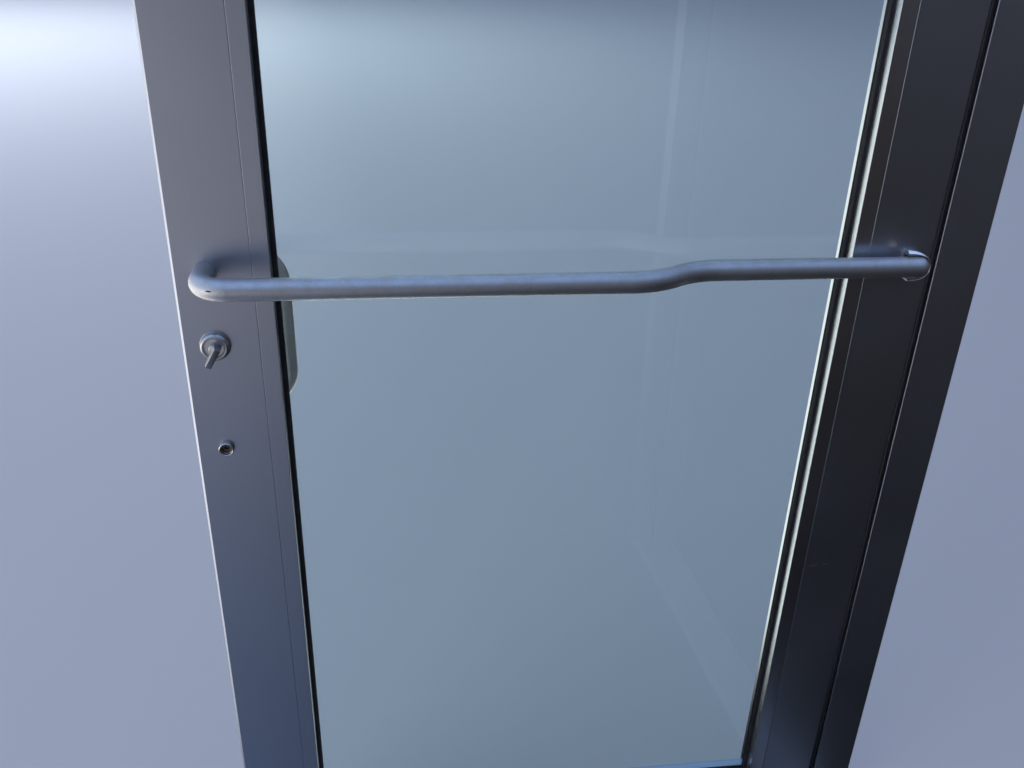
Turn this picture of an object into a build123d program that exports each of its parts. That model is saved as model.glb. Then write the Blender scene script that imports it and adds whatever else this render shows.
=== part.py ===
from build123d import *
import os
from math import atan, cos, degrees, radians, sin

# Aluminium storefront door: one glazed leaf on offset pivots, in its own frame with a threshold.
# Origin: on the floor, in the middle of the clear opening and of the frame's depth.
# X runs to the hinge jamb, Y to the outside and Z up. The leaf stands open.

# Frame
OPENING_WIDTH = 914.4
OPENING_HEIGHT = 2133.6
FRAME_FACE = 44.45
FRAME_DEPTH = 114.3
FRAME_WALL = 2.4
EDGE_ROUNDING = 0.6

# Threshold
THRESHOLD_DEPTH = 101.6
THRESHOLD_HEIGHT = 12.7
THRESHOLD_SHOULDER = 12.7
THRESHOLD_EDGE = 3.0
THRESHOLD_WALL = 3.2
THRESHOLD_RIB = 8.0
FLUTE_COUNT = 7
FLUTE_PITCH = 9.5
FLUTE_WIDTH = 3.0
FLUTE_DEPTH = 1.0
ANCHOR_HOLE = 7.0
ANCHOR_HEAD = 11.0
ANCHOR_BOSS = 13.0
THRESHOLD_HOLE_SPREAD = 760.0
THRESHOLD_HOLE_GAUGE = 54.0

# Door stops on the frame, and their bulb seals
STOP_HEIGHT = 12.7
STOP_SETBACK = 8.0
STOP_WALL = 1.6
STOP_NOSE = 4.6
STOP_ROUNDING = 1.0
SNAP_RIB = 2.2
SNAP_RIB_HEIGHT = 3.5
SEAL_INSET = 5.5
SEAL_NECK = 2.4
SEAL_NECK_DEPTH = 1.2
SEAL_FOOT = 4.8
SEAL_FOOT_DEPTH = 1.6
SEAL_WALL = 1.2
HINGE_BULB = 6.0
LOCK_BULB = 7.4
SEAL_CORNER_GAP = 3.0

# Leaf
LEAF_THICKNESS = 44.45
EDGE_CLEARANCE = 3.2
FLOOR_CLEARANCE = 19.05
OPEN_ANGLE = 85.0
PIVOT_OFFSET = 19.05
TUBE_WALL = 3.2
LOCK_STILE_FACE = 88.9
HINGE_STILE_FACE = 81.9
TOP_RAIL_FACE = 88.9
BOTTOM_RAIL_FACE = 127.0
LOCK_EDGE_BEVEL = 3.0

# Glazing
GLASS_THICKNESS = 6.35
GASKET_THICKNESS = 3.2
GASKET_LIP = 5.7
GASKET_BEVEL = 2.2
GLAZING_STOP_FACE = 20.6
GLAZING_STOP_WALL = 1.6
GLASS_BITE = 9.6
GLASS_ARRIS = 0.8
LEAF_RIB = 1.8
LEAF_RIB_HEIGHT = 4.0
SETTING_BLOCK_LENGTH = 100.0

# Corner clips and tie rods
CLIP_LENGTH = 40.0
CLIP_HEIGHT = 56.0
CLIP_WALL = 6.0
TIE_ROD = 9.5
TIE_HOLE = 10.5
NUT_ACROSS_FLATS = 14.3
NUT_THICKNESS = 8.0
ROD_THREAD_END = 4.0

# Sweep under the leaf
SWEEP_GAP = 0.5
SWEEP_FIN = 2.4
SWEEP_FOOT = 6.0
SWEEP_FOOT_DEPTH = 2.4
SWEEP_LIP = 1.6
SWEEP_CARRIER_WALL = 2.4
SWEEP_END_GAP = 12.0

# Push bar on the inner face
BAR_DIAMETER = 25.4
BAR_HEIGHT = 1066.8
BAR_ALONG = 36.0
BAR_STANDOFF = 56.0
BAR_END_STANDOFF = 21.0
BAR_BEND_RADIUS = 32.0
OFFSET_START = 516.8
OFFSET_LENGTH = 112.7
BAR_END_INSET = 26.6
TAPPED_DEPTH = 18.0

# Socket that holds the bar's far end
SOCKET_GAP = 0.4
SOCKET_WALL = 2.5
SOCKET_RIM = 19.0
SOCKET_LENGTH = 13.4
SOCKET_SCREW = 8.0
SOCKET_SCREW_HOLE = 8.6
HEAD_ROUNDING = 1.5
THREAD_END_GAP = 1.0
SOCKET_SCREW_HEAD = 14.0
SOCKET_SCREW_HEAD_HEIGHT = 5.0

# Pull handle on the outer face
PULL_DIAMETER = 25.4
PULL_CENTRES = 228.6
PULL_OFFSET = 69.5
PULL_STANDOFF = 65.0
PULL_LEG_RADIUS = 25.4
PULL_CORNER_RADIUS = 44.0
PULL_ARM_SLOPE = 23.0
THROUGH_BOLT = 9.5
THROUGH_HOLE = 10.5
FERRULE_DIAMETER = 17.0
FERRULE_HEIGHT = 2.2
FERRULE_BARREL = 14.5
FERRULE_DEPTH = 8.0
FERRULE_RECESS = 12.8
FERRULE_BASE = 2.0
FERRULE_ROUNDING = 0.8
BOLT_HEAD = 12.4
BOLT_HEAD_HEIGHT = 5.0
HEX_SOCKET = 6.0
HEX_SOCKET_DEPTH = 3.0

# Swinging deadbolt lock
CYLINDER_DROP = 89.7
CYLINDER_ALONG = 38.1
CYLINDER_DIAMETER = 29.4
CYLINDER_HOLE = 30.0
CASE_THICKNESS = 25.4
CASE_DEPTH = 54.0
CASE_HEIGHT = 152.4
CASE_WALL = 1.6
CASE_END = 16.0
BOLT_PIVOT_ALONG = 22.0
BOLT_PIVOT_DROP = 38.1
BOLT_THICKNESS = 16.0
BOLT_WIDTH = 25.0
BOLT_REACH = 57.0
BOLT_TIP_ROUNDING = 4.0
BOLT_PIN = 8.0
RUNNING_CLEARANCE = 0.05
BOLT_SLOT_WIDTH = 18.5
BOLT_SLOT_CLEARANCE = 1.6
FACEPLATE_SCREW = 4.8
FACEPLATE_SCREW_HEAD = 8.4
FACEPLATE_SCREW_LENGTH = 14.0
FACEPLATE_SCREW_SPREAD = 134.0
COUNTERSINK_ANGLE = 90.0

# Thumbturn inside, key cylinder outside
COLLAR_BASE = 36.0
COLLAR_FRONT = 31.0
COLLAR_HEIGHT = 9.0
COLLAR_STEP = 2.4
COLLAR_BORE = 22.0
COLLAR_FACE_SINK = 1.2
COLLAR_ROUNDING = 1.0
SPINDLE = 8.0
TURN_HUB = 13.0
TURN_HUB_HEIGHT = 4.0
TURN_GAP = 0.3
TURN_REACH = 20.0
TURN_TAIL = 8.0
TURN_TIP_WIDTH = 6.5
TURN_THICKNESS = 9.0
TURN_PROUD = 16.0
TURN_LEAN = 24.0
TURN_ROUNDING = 2.0
RING_DIAMETER = 38.0
RING_HEIGHT = 4.0
CYLINDER_PROUD = 6.0
PLUG_DIAMETER = 12.7
PLUG_LENGTH = 14.0
KEYWAY_WIDTH = 2.2
KEYWAY_HEIGHT = 8.6
KEYWAY_DEPTH = 12.0

# Strike on the lock jamb
STRIKE_THICKNESS = 2.0
STRIKE_WIDTH = 32.0
STRIKE_HEIGHT = 120.0
STRIKE_ROUNDING = 3.0
STRIKE_SCREW_SPREAD = 102.0

# Offset pivots
PIVOT_PIN = 12.7
PIVOT_BOSS = 26.0
PIVOT_GAP = 0.3
BASE_PLATE = 10.0
BASE_LEG = 5.0
BASE_LEG_HEIGHT = 76.0
BASE_REACH = 60.0
LEG_START = 27.0
ARM_LUG = 16.0
ARM_PLATE = 5.0
ARM_PLATE_LENGTH = 56.0
ARM_PLATE_HEIGHT = 90.0
ARM_EDGE_INSET = 3.0
ARM_TOP_DROP = 2.4
BRACKET_LEFT = 35.0
BRACKET_RIGHT = 57.0
BRACKET_PLATE = 5.0
BRACKET_LUG = 10.0
BRACKET_INSET = 4.4
PIN_PAST_LUG = 4.0
PIVOT_SCREW = 6.0
PIVOT_SCREW_HEAD = 10.5
PIVOT_SCREW_HEAD_HEIGHT = 3.5
PIVOT_SCREW_END = 1.0
PIVOT_SCREW_PITCH = 32.0
PIVOT_SCREW_MARGIN = 14.0
BRACKET_SCREW_MARGIN = 11.0

# Places worked out from the sizes above
REVEAL = OPENING_WIDTH / 2
OUTER_SIDE = FRAME_DEPTH / 2
FRAME_TOP = OPENING_HEIGHT + FRAME_FACE
LEAF_WIDTH = OPENING_WIDTH - 2 * EDGE_CLEARANCE
LEAF_BOTTOM = FLOOR_CLEARANCE
LEAF_TOP = OPENING_HEIGHT - EDGE_CLEARANCE
PIVOT_X = LEAF_WIDTH / 2 - PIVOT_OFFSET
PIVOT_Y = OUTER_SIDE + PIVOT_OFFSET
STOP_SEAT = OUTER_SIDE - LEAF_THICKNESS - STOP_SETBACK
HINGE_WEB = LEAF_WIDTH - HINGE_STILE_FACE
LOWER_WEB = LEAF_BOTTOM + BOTTOM_RAIL_FACE
UPPER_WEB = LEAF_TOP - TOP_RAIL_FACE
GLAZING_STOP_DEPTH = (LEAF_THICKNESS - GLASS_THICKNESS) / 2 - GASKET_THICKNESS
GLASS_EDGE = GLAZING_STOP_FACE - GLASS_BITE
GASKET_SIGHT = GLAZING_STOP_FACE + GASKET_LIP
BAR_END_CENTRE = LEAF_WIDTH - BAR_END_INSET
CYLINDER_HEIGHT = BAR_HEIGHT - CYLINDER_DROP
BOLT_PIVOT_HEIGHT = CYLINDER_HEIGHT - BOLT_PIVOT_DROP
MID_DEPTH = LEAF_THICKNESS / 2
SLOT_BOTTOM = BOLT_PIVOT_HEIGHT - BOLT_WIDTH / 2 - BOLT_SLOT_CLEARANCE
SLOT_TOP = BOLT_PIVOT_HEIGHT + BOLT_REACH
STRIKE_CENTRE = (SLOT_BOTTOM + SLOT_TOP) / 2
BOLT_SLOT_HEIGHT = SLOT_TOP - SLOT_BOTTOM
COUNTERSINK_HEIGHT = (FACEPLATE_SCREW_HEAD - FACEPLATE_SCREW) / 2
FACEPLATE_SCREW_HEIGHTS = (
    CYLINDER_HEIGHT - FACEPLATE_SCREW_SPREAD / 2,
    CYLINDER_HEIGHT + FACEPLATE_SCREW_SPREAD / 2,
)
BASE_SCREW_HEIGHTS = (
    BASE_LEG_HEIGHT - PIVOT_SCREW_MARGIN,
    BASE_LEG_HEIGHT - PIVOT_SCREW_MARGIN - PIVOT_SCREW_PITCH,
)
BRACKET_SCREW_SHIFTS = (BRACKET_SCREW_MARGIN - BRACKET_LEFT, BRACKET_RIGHT - BRACKET_SCREW_MARGIN)
BRACKET_SCREW_HEIGHT = OPENING_HEIGHT + FRAME_FACE / 2
LEG_MIDDLE = PIVOT_X + (LEG_START + BASE_REACH) / 2

# The open leaf's own directions: along its width from the lock edge, outward through its thickness, and up
TURN = radians(OPEN_ANGLE)
ALONG = Vector(cos(TURN), -sin(TURN), 0)
OUTWARD = Vector(sin(TURN), cos(TURN), 0)
UP = Vector(0, 0, 1)
LEAF_CORNER = (
    Vector(PIVOT_X, PIVOT_Y, 0)
    - ALONG * (LEAF_WIDTH - PIVOT_OFFSET)
    - OUTWARD * (LEAF_THICKNESS + PIVOT_OFFSET)
)


def leaf_point(along, depth, height):
    """A point on the leaf: from its lock edge, from its inner face and from the floor."""
    return LEAF_CORNER + ALONG * along + OUTWARD * depth + UP * height


def leaf_plan(height):
    """Level plane through the leaf: x along it, y from its inner face outward."""
    return Plane(origin=leaf_point(0, 0, height), x_dir=ALONG, z_dir=UP)


def leaf_front(depth):
    """Plane along the leaf's face, looking at the inner side: x along it, y up."""
    return Plane(origin=leaf_point(0, depth, 0), x_dir=ALONG, z_dir=OUTWARD * -1)


def leaf_back(depth):
    """Plane along the leaf's face whose normal points outside: x back along it, y up."""
    return Plane(origin=leaf_point(0, depth, 0), x_dir=ALONG * -1, z_dir=OUTWARD)


def leaf_end(along):
    """Plane across the leaf: x from its inner face outward, y up."""
    return Plane(origin=leaf_point(along, 0, 0), x_dir=OUTWARD, z_dir=ALONG)


def span(x0, x1, y0, y1, mode=Mode.ADD):
    """Rectangle between two corners, in the sketch that is open."""
    with Locations(((x0 + x1) / 2, (y0 + y1) / 2)):
        Rectangle(abs(x1 - x0), abs(y1 - y0), mode=mode)


def discs(diameter, *centres, mode=Mode.ADD):
    """Equal circles, in the sketch that is open."""
    with Locations(*centres):
        Circle(diameter / 2, mode=mode)


def countersunk_screws(face, places):
    """Flat-head screws, added to the open part with their heads level with a plane."""
    with Locations(face):
        with Locations(*((x, y, -COUNTERSINK_HEIGHT) for x, y in places)):
            Cone(
                FACEPLATE_SCREW / 2,
                FACEPLATE_SCREW_HEAD / 2,
                COUNTERSINK_HEIGHT,
                align=(Align.CENTER, Align.CENTER, Align.MIN),
            )
        with Locations(*((x, y, -FACEPLATE_SCREW_LENGTH) for x, y in places)):
            Cylinder(
                FACEPLATE_SCREW / 2,
                FACEPLATE_SCREW_LENGTH - COUNTERSINK_HEIGHT,
                align=(Align.CENTER, Align.CENTER, Align.MIN),
            )


def pan_screws(face, places, grip):
    """Pan-head screws, added to the open part with their heads on a plane."""
    with Locations(face):
        with Locations(*((x, y, 0) for x, y in places)):
            Cylinder(
                PIVOT_SCREW_HEAD / 2,
                PIVOT_SCREW_HEAD_HEIGHT,
                align=(Align.CENTER, Align.CENTER, Align.MIN),
            )
            Cylinder(
                PIVOT_SCREW / 2,
                grip + PIVOT_SCREW_END,
                align=(Align.CENTER, Align.CENTER, Align.MAX),
            )


os.makedirs("parts", exist_ok=True)

# Frame tubes: jambs run to the floor, the header sits between them
SNAP_RIBS = (
    (-OUTER_SIDE + STOP_WALL, -OUTER_SIDE + STOP_WALL + SNAP_RIB),
    (STOP_SEAT - STOP_NOSE - SNAP_RIB, STOP_SEAT - STOP_NOSE),
)
STRIKE_Y = OUTER_SIDE - MID_DEPTH
STRIKE_FACE = Plane.YZ.offset(-REVEAL + STRIKE_THICKNESS)
STRIKE_SCREW_PLACES = (
    (STRIKE_Y, STRIKE_CENTRE - STRIKE_SCREW_SPREAD / 2),
    (STRIKE_Y, STRIKE_CENTRE + STRIKE_SCREW_SPREAD / 2),
)

with BuildPart() as hinge_jamb:
    with BuildSketch(Plane.XY) as jamb_section:
        span(REVEAL, REVEAL + FRAME_FACE, -OUTER_SIDE, OUTER_SIDE)
        fillet(jamb_section.vertices(), EDGE_ROUNDING)
        span(
            REVEAL + FRAME_WALL,
            REVEAL + FRAME_FACE - FRAME_WALL,
            -OUTER_SIDE + FRAME_WALL,
            OUTER_SIDE - FRAME_WALL,
            mode=Mode.SUBTRACT,
        )
    extrude(amount=FRAME_TOP)
    with BuildSketch(Plane.XY.offset(THRESHOLD_HEIGHT)):
        for rib_start, rib_end in SNAP_RIBS:
            span(REVEAL - SNAP_RIB_HEIGHT, REVEAL, rib_start, rib_end)
    extrude(amount=OPENING_HEIGHT - THRESHOLD_HEIGHT)
    with BuildSketch(Plane.XZ.offset(-OUTER_SIDE)):
        discs(PIVOT_SCREW, *((LEG_MIDDLE, height) for height in BASE_SCREW_HEIGHTS))
        discs(PIVOT_SCREW, (PIVOT_X + BRACKET_SCREW_SHIFTS[1], BRACKET_SCREW_HEIGHT))
    extrude(amount=FRAME_WALL, mode=Mode.SUBTRACT)
hinge_jamb.part.label = "hinge_jamb"
export_step(hinge_jamb.part, "parts/hinge_jamb.step")

with BuildPart() as lock_jamb:
    with BuildSketch(Plane.XY) as jamb_section:
        span(-REVEAL, -REVEAL - FRAME_FACE, -OUTER_SIDE, OUTER_SIDE)
        fillet(jamb_section.vertices(), EDGE_ROUNDING)
        span(
            -REVEAL - FRAME_WALL,
            -REVEAL - FRAME_FACE + FRAME_WALL,
            -OUTER_SIDE + FRAME_WALL,
            OUTER_SIDE - FRAME_WALL,
            mode=Mode.SUBTRACT,
        )
    extrude(amount=FRAME_TOP)
    with BuildSketch(Plane.XY.offset(THRESHOLD_HEIGHT)):
        for rib_start, rib_end in SNAP_RIBS:
            span(-REVEAL, -REVEAL + SNAP_RIB_HEIGHT, rib_start, rib_end)
    extrude(amount=OPENING_HEIGHT - THRESHOLD_HEIGHT)
    with BuildSketch(Plane.YZ.offset(-REVEAL)):
        span(
            STRIKE_Y - BOLT_SLOT_WIDTH / 2,
            STRIKE_Y + BOLT_SLOT_WIDTH / 2,
            SLOT_BOTTOM,
            SLOT_TOP,
        )
        discs(FACEPLATE_SCREW, *STRIKE_SCREW_PLACES)
    extrude(amount=-FRAME_WALL, mode=Mode.SUBTRACT)
lock_jamb.part.label = "lock_jamb"
export_step(lock_jamb.part, "parts/lock_jamb.step")

with BuildPart() as header:
    with BuildSketch(Plane.YZ.offset(-REVEAL)) as header_section:
        span(-OUTER_SIDE, OUTER_SIDE, OPENING_HEIGHT, FRAME_TOP)
        fillet(header_section.vertices(), EDGE_ROUNDING)
        span(
            -OUTER_SIDE + FRAME_WALL,
            OUTER_SIDE - FRAME_WALL,
            OPENING_HEIGHT + FRAME_WALL,
            FRAME_TOP - FRAME_WALL,
            mode=Mode.SUBTRACT,
        )
    extrude(amount=OPENING_WIDTH)
    with BuildSketch(Plane.YZ.offset(-REVEAL + STOP_HEIGHT)):
        for rib_start, rib_end in SNAP_RIBS:
            span(rib_start, rib_end, OPENING_HEIGHT - SNAP_RIB_HEIGHT, OPENING_HEIGHT)
    extrude(amount=OPENING_WIDTH - 2 * STOP_HEIGHT)
    with BuildSketch(Plane.XZ.offset(-OUTER_SIDE)):
        discs(PIVOT_SCREW, (PIVOT_X + BRACKET_SCREW_SHIFTS[0], BRACKET_SCREW_HEIGHT))
    extrude(amount=FRAME_WALL, mode=Mode.SUBTRACT)
header.part.label = "header"
export_step(header.part, "parts/header.step")

# Channel-shaped clips inside the header's ends, against the jambs
with BuildPart() as header_clips:
    for side in (-1, 1):
        with BuildSketch(Plane.YZ.offset(side * REVEAL)):
            span(
                -OUTER_SIDE + FRAME_WALL,
                OUTER_SIDE - FRAME_WALL,
                OPENING_HEIGHT + FRAME_WALL,
                FRAME_TOP - FRAME_WALL,
            )
        extrude(amount=-side * CLIP_LENGTH)
        with BuildSketch(Plane.YZ.offset(side * (REVEAL - CLIP_WALL))):
            span(
                -OUTER_SIDE + FRAME_WALL + CLIP_WALL,
                OUTER_SIDE - FRAME_WALL - CLIP_WALL,
                OPENING_HEIGHT + FRAME_WALL + CLIP_WALL,
                FRAME_TOP - FRAME_WALL,
            )
        extrude(amount=-side * CLIP_LENGTH, mode=Mode.SUBTRACT)
header_clips.part.label = "header_clips"
export_step(header_clips.part, "parts/header_clips.step")

# Saddle threshold: fluted top, sloped shoulders, ribs under it
with BuildPart() as threshold:
    with BuildSketch(Plane.YZ.offset(-REVEAL)):
        half_depth = THRESHOLD_DEPTH / 2
        with BuildLine():
            Polyline(
                (-half_depth, 0),
                (half_depth, 0),
                (half_depth, THRESHOLD_EDGE),
                (half_depth - THRESHOLD_SHOULDER, THRESHOLD_HEIGHT),
                (-half_depth + THRESHOLD_SHOULDER, THRESHOLD_HEIGHT),
                (-half_depth, THRESHOLD_EDGE),
                close=True,
            )
        make_face()
        for side in (-1, 1):
            span(
                side * THRESHOLD_RIB / 2,
                side * (half_depth - THRESHOLD_SHOULDER),
                0,
                THRESHOLD_HEIGHT - THRESHOLD_WALL,
                mode=Mode.SUBTRACT,
            )
        with Locations((0, THRESHOLD_HEIGHT)):
            with GridLocations(FLUTE_PITCH, 1, FLUTE_COUNT, 1):
                Rectangle(FLUTE_WIDTH, 2 * FLUTE_DEPTH, mode=Mode.SUBTRACT)
    extrude(amount=OPENING_WIDTH)
    with BuildSketch(Plane.XY):
        with GridLocations(THRESHOLD_HOLE_SPREAD, THRESHOLD_HOLE_GAUGE, 2, 2):
            Circle(ANCHOR_BOSS / 2)
    extrude(amount=THRESHOLD_HEIGHT - THRESHOLD_WALL)
    with Locations(Plane.XY.offset(THRESHOLD_HEIGHT)):
        with GridLocations(THRESHOLD_HOLE_SPREAD, THRESHOLD_HOLE_GAUGE, 2, 2):
            CounterSinkHole(ANCHOR_HOLE / 2, ANCHOR_HEAD / 2)
threshold.part.label = "threshold"
export_step(threshold.part, "parts/threshold.step")

# Door stops and seals: x of each plane runs from the frame's face into the opening, y outward.
# The header's seal ends short of the hinge side, where the leaf's corner swings past it.
STOP_RUNS = {
    "hinge": (
        Plane(origin=(REVEAL, 0, OPENING_HEIGHT), x_dir=(-1, 0, 0), z_dir=(0, 0, -1)),
        OPENING_HEIGHT - THRESHOLD_HEIGHT,
        OPENING_HEIGHT - THRESHOLD_HEIGHT,
        HINGE_BULB,
    ),
    "lock": (
        Plane(origin=(-REVEAL, 0, THRESHOLD_HEIGHT), x_dir=(1, 0, 0), z_dir=(0, 0, 1)),
        OPENING_HEIGHT - THRESHOLD_HEIGHT,
        OPENING_HEIGHT - THRESHOLD_HEIGHT,
        LOCK_BULB,
    ),
    "header": (
        Plane(origin=(-REVEAL + STOP_HEIGHT, 0, OPENING_HEIGHT), x_dir=(0, 0, -1), z_dir=(1, 0, 0)),
        OPENING_WIDTH - 2 * STOP_HEIGHT,
        PIVOT_X - PIVOT_OFFSET - SEAL_CORNER_GAP + REVEAL - STOP_HEIGHT,
        LOCK_BULB,
    ),
}
SEAL_LINE = STOP_HEIGHT - SEAL_INSET

for place, (stop_plane, run_length, seal_length, bulb) in STOP_RUNS.items():
    with BuildPart() as door_stop:
        with BuildSketch(stop_plane) as stop_section:
            span(0, STOP_HEIGHT, -OUTER_SIDE, STOP_SEAT)
            fillet(stop_section.vertices().group_by(Axis.X)[-1], STOP_ROUNDING)
            span(
                0,
                STOP_HEIGHT - STOP_WALL,
                -OUTER_SIDE + STOP_WALL,
                STOP_SEAT - STOP_NOSE,
                mode=Mode.SUBTRACT,
            )
            span(
                SEAL_LINE - SEAL_NECK / 2,
                SEAL_LINE + SEAL_NECK / 2,
                STOP_SEAT - SEAL_NECK_DEPTH,
                STOP_SEAT,
                mode=Mode.SUBTRACT,
            )
            span(
                SEAL_LINE - SEAL_FOOT / 2,
                SEAL_LINE + SEAL_FOOT / 2,
                STOP_SEAT - SEAL_NECK_DEPTH - SEAL_FOOT_DEPTH,
                STOP_SEAT - SEAL_NECK_DEPTH,
                mode=Mode.SUBTRACT,
            )
        extrude(amount=run_length)
    door_stop.part.label = f"{place}_door_stop"
    export_step(door_stop.part, f"parts/{place}_door_stop.step")

    with BuildPart() as bulb_seal:
        with BuildSketch(stop_plane):
            discs(bulb, (SEAL_LINE, STOP_SEAT + bulb / 2))
            span(
                SEAL_LINE - SEAL_NECK / 2,
                SEAL_LINE + SEAL_NECK / 2,
                STOP_SEAT - SEAL_NECK_DEPTH,
                STOP_SEAT + SEAL_WALL,
            )
            span(
                SEAL_LINE - SEAL_FOOT / 2,
                SEAL_LINE + SEAL_FOOT / 2,
                STOP_SEAT - SEAL_NECK_DEPTH - SEAL_FOOT_DEPTH,
                STOP_SEAT - SEAL_NECK_DEPTH,
            )
            discs(bulb - 2 * SEAL_WALL, (SEAL_LINE, STOP_SEAT + bulb / 2), mode=Mode.SUBTRACT)
        extrude(amount=seal_length)
    bulb_seal.part.label = f"{place}_bulb_seal"
    export_step(bulb_seal.part, f"parts/{place}_bulb_seal.step")

# Strike plate on the lock jamb, with its screws
with BuildPart() as strike_plate:
    with BuildSketch(Plane.YZ.offset(-REVEAL)):
        with Locations((STRIKE_Y, STRIKE_CENTRE)):
            RectangleRounded(STRIKE_WIDTH, STRIKE_HEIGHT, STRIKE_ROUNDING)
            Rectangle(BOLT_SLOT_WIDTH, BOLT_SLOT_HEIGHT, mode=Mode.SUBTRACT)
    extrude(amount=STRIKE_THICKNESS)
    with Locations(STRIKE_FACE):
        with Locations(*STRIKE_SCREW_PLACES):
            CounterSinkHole(
                FACEPLATE_SCREW / 2, FACEPLATE_SCREW_HEAD / 2, counter_sink_angle=COUNTERSINK_ANGLE
            )
strike_plate.part.label = "strike_plate"
export_step(strike_plate.part, "parts/strike_plate.step")

with BuildPart() as strike_screws:
    countersunk_screws(STRIKE_FACE, STRIKE_SCREW_PLACES)
strike_screws.part.label = "strike_screws"
export_step(strike_screws.part, "parts/strike_screws.step")

# Stiles: rectangular tubes the full height of the leaf; low ribs on the glass side hold the glazing stops
LEAF_RIBS = (
    (GLAZING_STOP_WALL, GLAZING_STOP_WALL + LEAF_RIB),
    (GLAZING_STOP_DEPTH - GLAZING_STOP_WALL - LEAF_RIB, GLAZING_STOP_DEPTH - GLAZING_STOP_WALL),
    (
        LEAF_THICKNESS - GLAZING_STOP_DEPTH + GLAZING_STOP_WALL,
        LEAF_THICKNESS - GLAZING_STOP_DEPTH + GLAZING_STOP_WALL + LEAF_RIB,
    ),
    (LEAF_THICKNESS - GLAZING_STOP_WALL - LEAF_RIB, LEAF_THICKNESS - GLAZING_STOP_WALL),
)
STOP_LOW = LOWER_WEB + GLAZING_STOP_FACE
STOP_HIGH = UPPER_WEB - GLAZING_STOP_FACE
RAIL_LENGTH = HINGE_WEB - LOCK_STILE_FACE
TIE_HEIGHTS = ((LEAF_BOTTOM + LOWER_WEB) / 2, (UPPER_WEB + LEAF_TOP) / 2)
ARM_MIDDLE = LEAF_WIDTH - ARM_EDGE_INSET - ARM_PLATE_LENGTH / 2
ARM_TOP = LEAF_TOP - ARM_TOP_DROP
ARM_SCREW_PLACES = (
    (ARM_MIDDLE, LEAF_BOTTOM + ARM_PLATE_HEIGHT - PIVOT_SCREW_MARGIN),
    (ARM_MIDDLE, LEAF_BOTTOM + ARM_PLATE_HEIGHT - PIVOT_SCREW_MARGIN - PIVOT_SCREW_PITCH),
    (ARM_MIDDLE, ARM_TOP - ARM_PLATE_HEIGHT + PIVOT_SCREW_MARGIN),
    (ARM_MIDDLE, ARM_TOP - ARM_PLATE_HEIGHT + PIVOT_SCREW_MARGIN + PIVOT_SCREW_PITCH),
)
PULL_LOW_HEIGHT = BAR_HEIGHT - PULL_CENTRES
CASE_BOTTOM = CYLINDER_HEIGHT - CASE_HEIGHT / 2
CASE_TOP = CYLINDER_HEIGHT + CASE_HEIGHT / 2
CASE_SIDE = MID_DEPTH - CASE_THICKNESS / 2

with BuildPart() as lock_stile:
    with BuildSketch(leaf_plan(LEAF_BOTTOM)) as stile_section:
        span(0, LOCK_STILE_FACE, 0, LEAF_THICKNESS)
        chamfer(stile_section.vertices().group_by(Axis.X)[0], LOCK_EDGE_BEVEL)
        fillet(stile_section.vertices().group_by(Axis.X)[-1], EDGE_ROUNDING)
        span(
            TUBE_WALL,
            LOCK_STILE_FACE - TUBE_WALL,
            TUBE_WALL,
            LEAF_THICKNESS - TUBE_WALL,
            mode=Mode.SUBTRACT,
        )
    extrude(amount=LEAF_TOP - LEAF_BOTTOM)
    with BuildSketch(leaf_plan(STOP_LOW)):
        for rib_start, rib_end in LEAF_RIBS:
            span(LOCK_STILE_FACE, LOCK_STILE_FACE + LEAF_RIB_HEIGHT, rib_start, rib_end)
    extrude(amount=STOP_HIGH - STOP_LOW)
    with BuildSketch(leaf_front(0)):
        discs(CYLINDER_HOLE, (CYLINDER_ALONG, CYLINDER_HEIGHT))
        discs(THROUGH_HOLE, (BAR_ALONG, BAR_HEIGHT), (BAR_ALONG, PULL_LOW_HEIGHT))
    extrude(amount=-LEAF_THICKNESS, mode=Mode.SUBTRACT)
    with BuildSketch(leaf_front(0)):
        discs(FERRULE_BARREL, (BAR_ALONG, PULL_LOW_HEIGHT))
    extrude(amount=-TUBE_WALL, mode=Mode.SUBTRACT)
    with BuildSketch(leaf_end(0)):
        span(CASE_SIDE, LEAF_THICKNESS - CASE_SIDE, CASE_BOTTOM, CASE_TOP)
    extrude(amount=TUBE_WALL, mode=Mode.SUBTRACT)
    with BuildSketch(leaf_end(LOCK_STILE_FACE)):
        discs(TIE_HOLE, *((MID_DEPTH, height) for height in TIE_HEIGHTS))
    extrude(amount=-TUBE_WALL, mode=Mode.SUBTRACT)
lock_stile.part.label = "lock_stile"
export_step(lock_stile.part, "parts/lock_stile.step")

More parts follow.
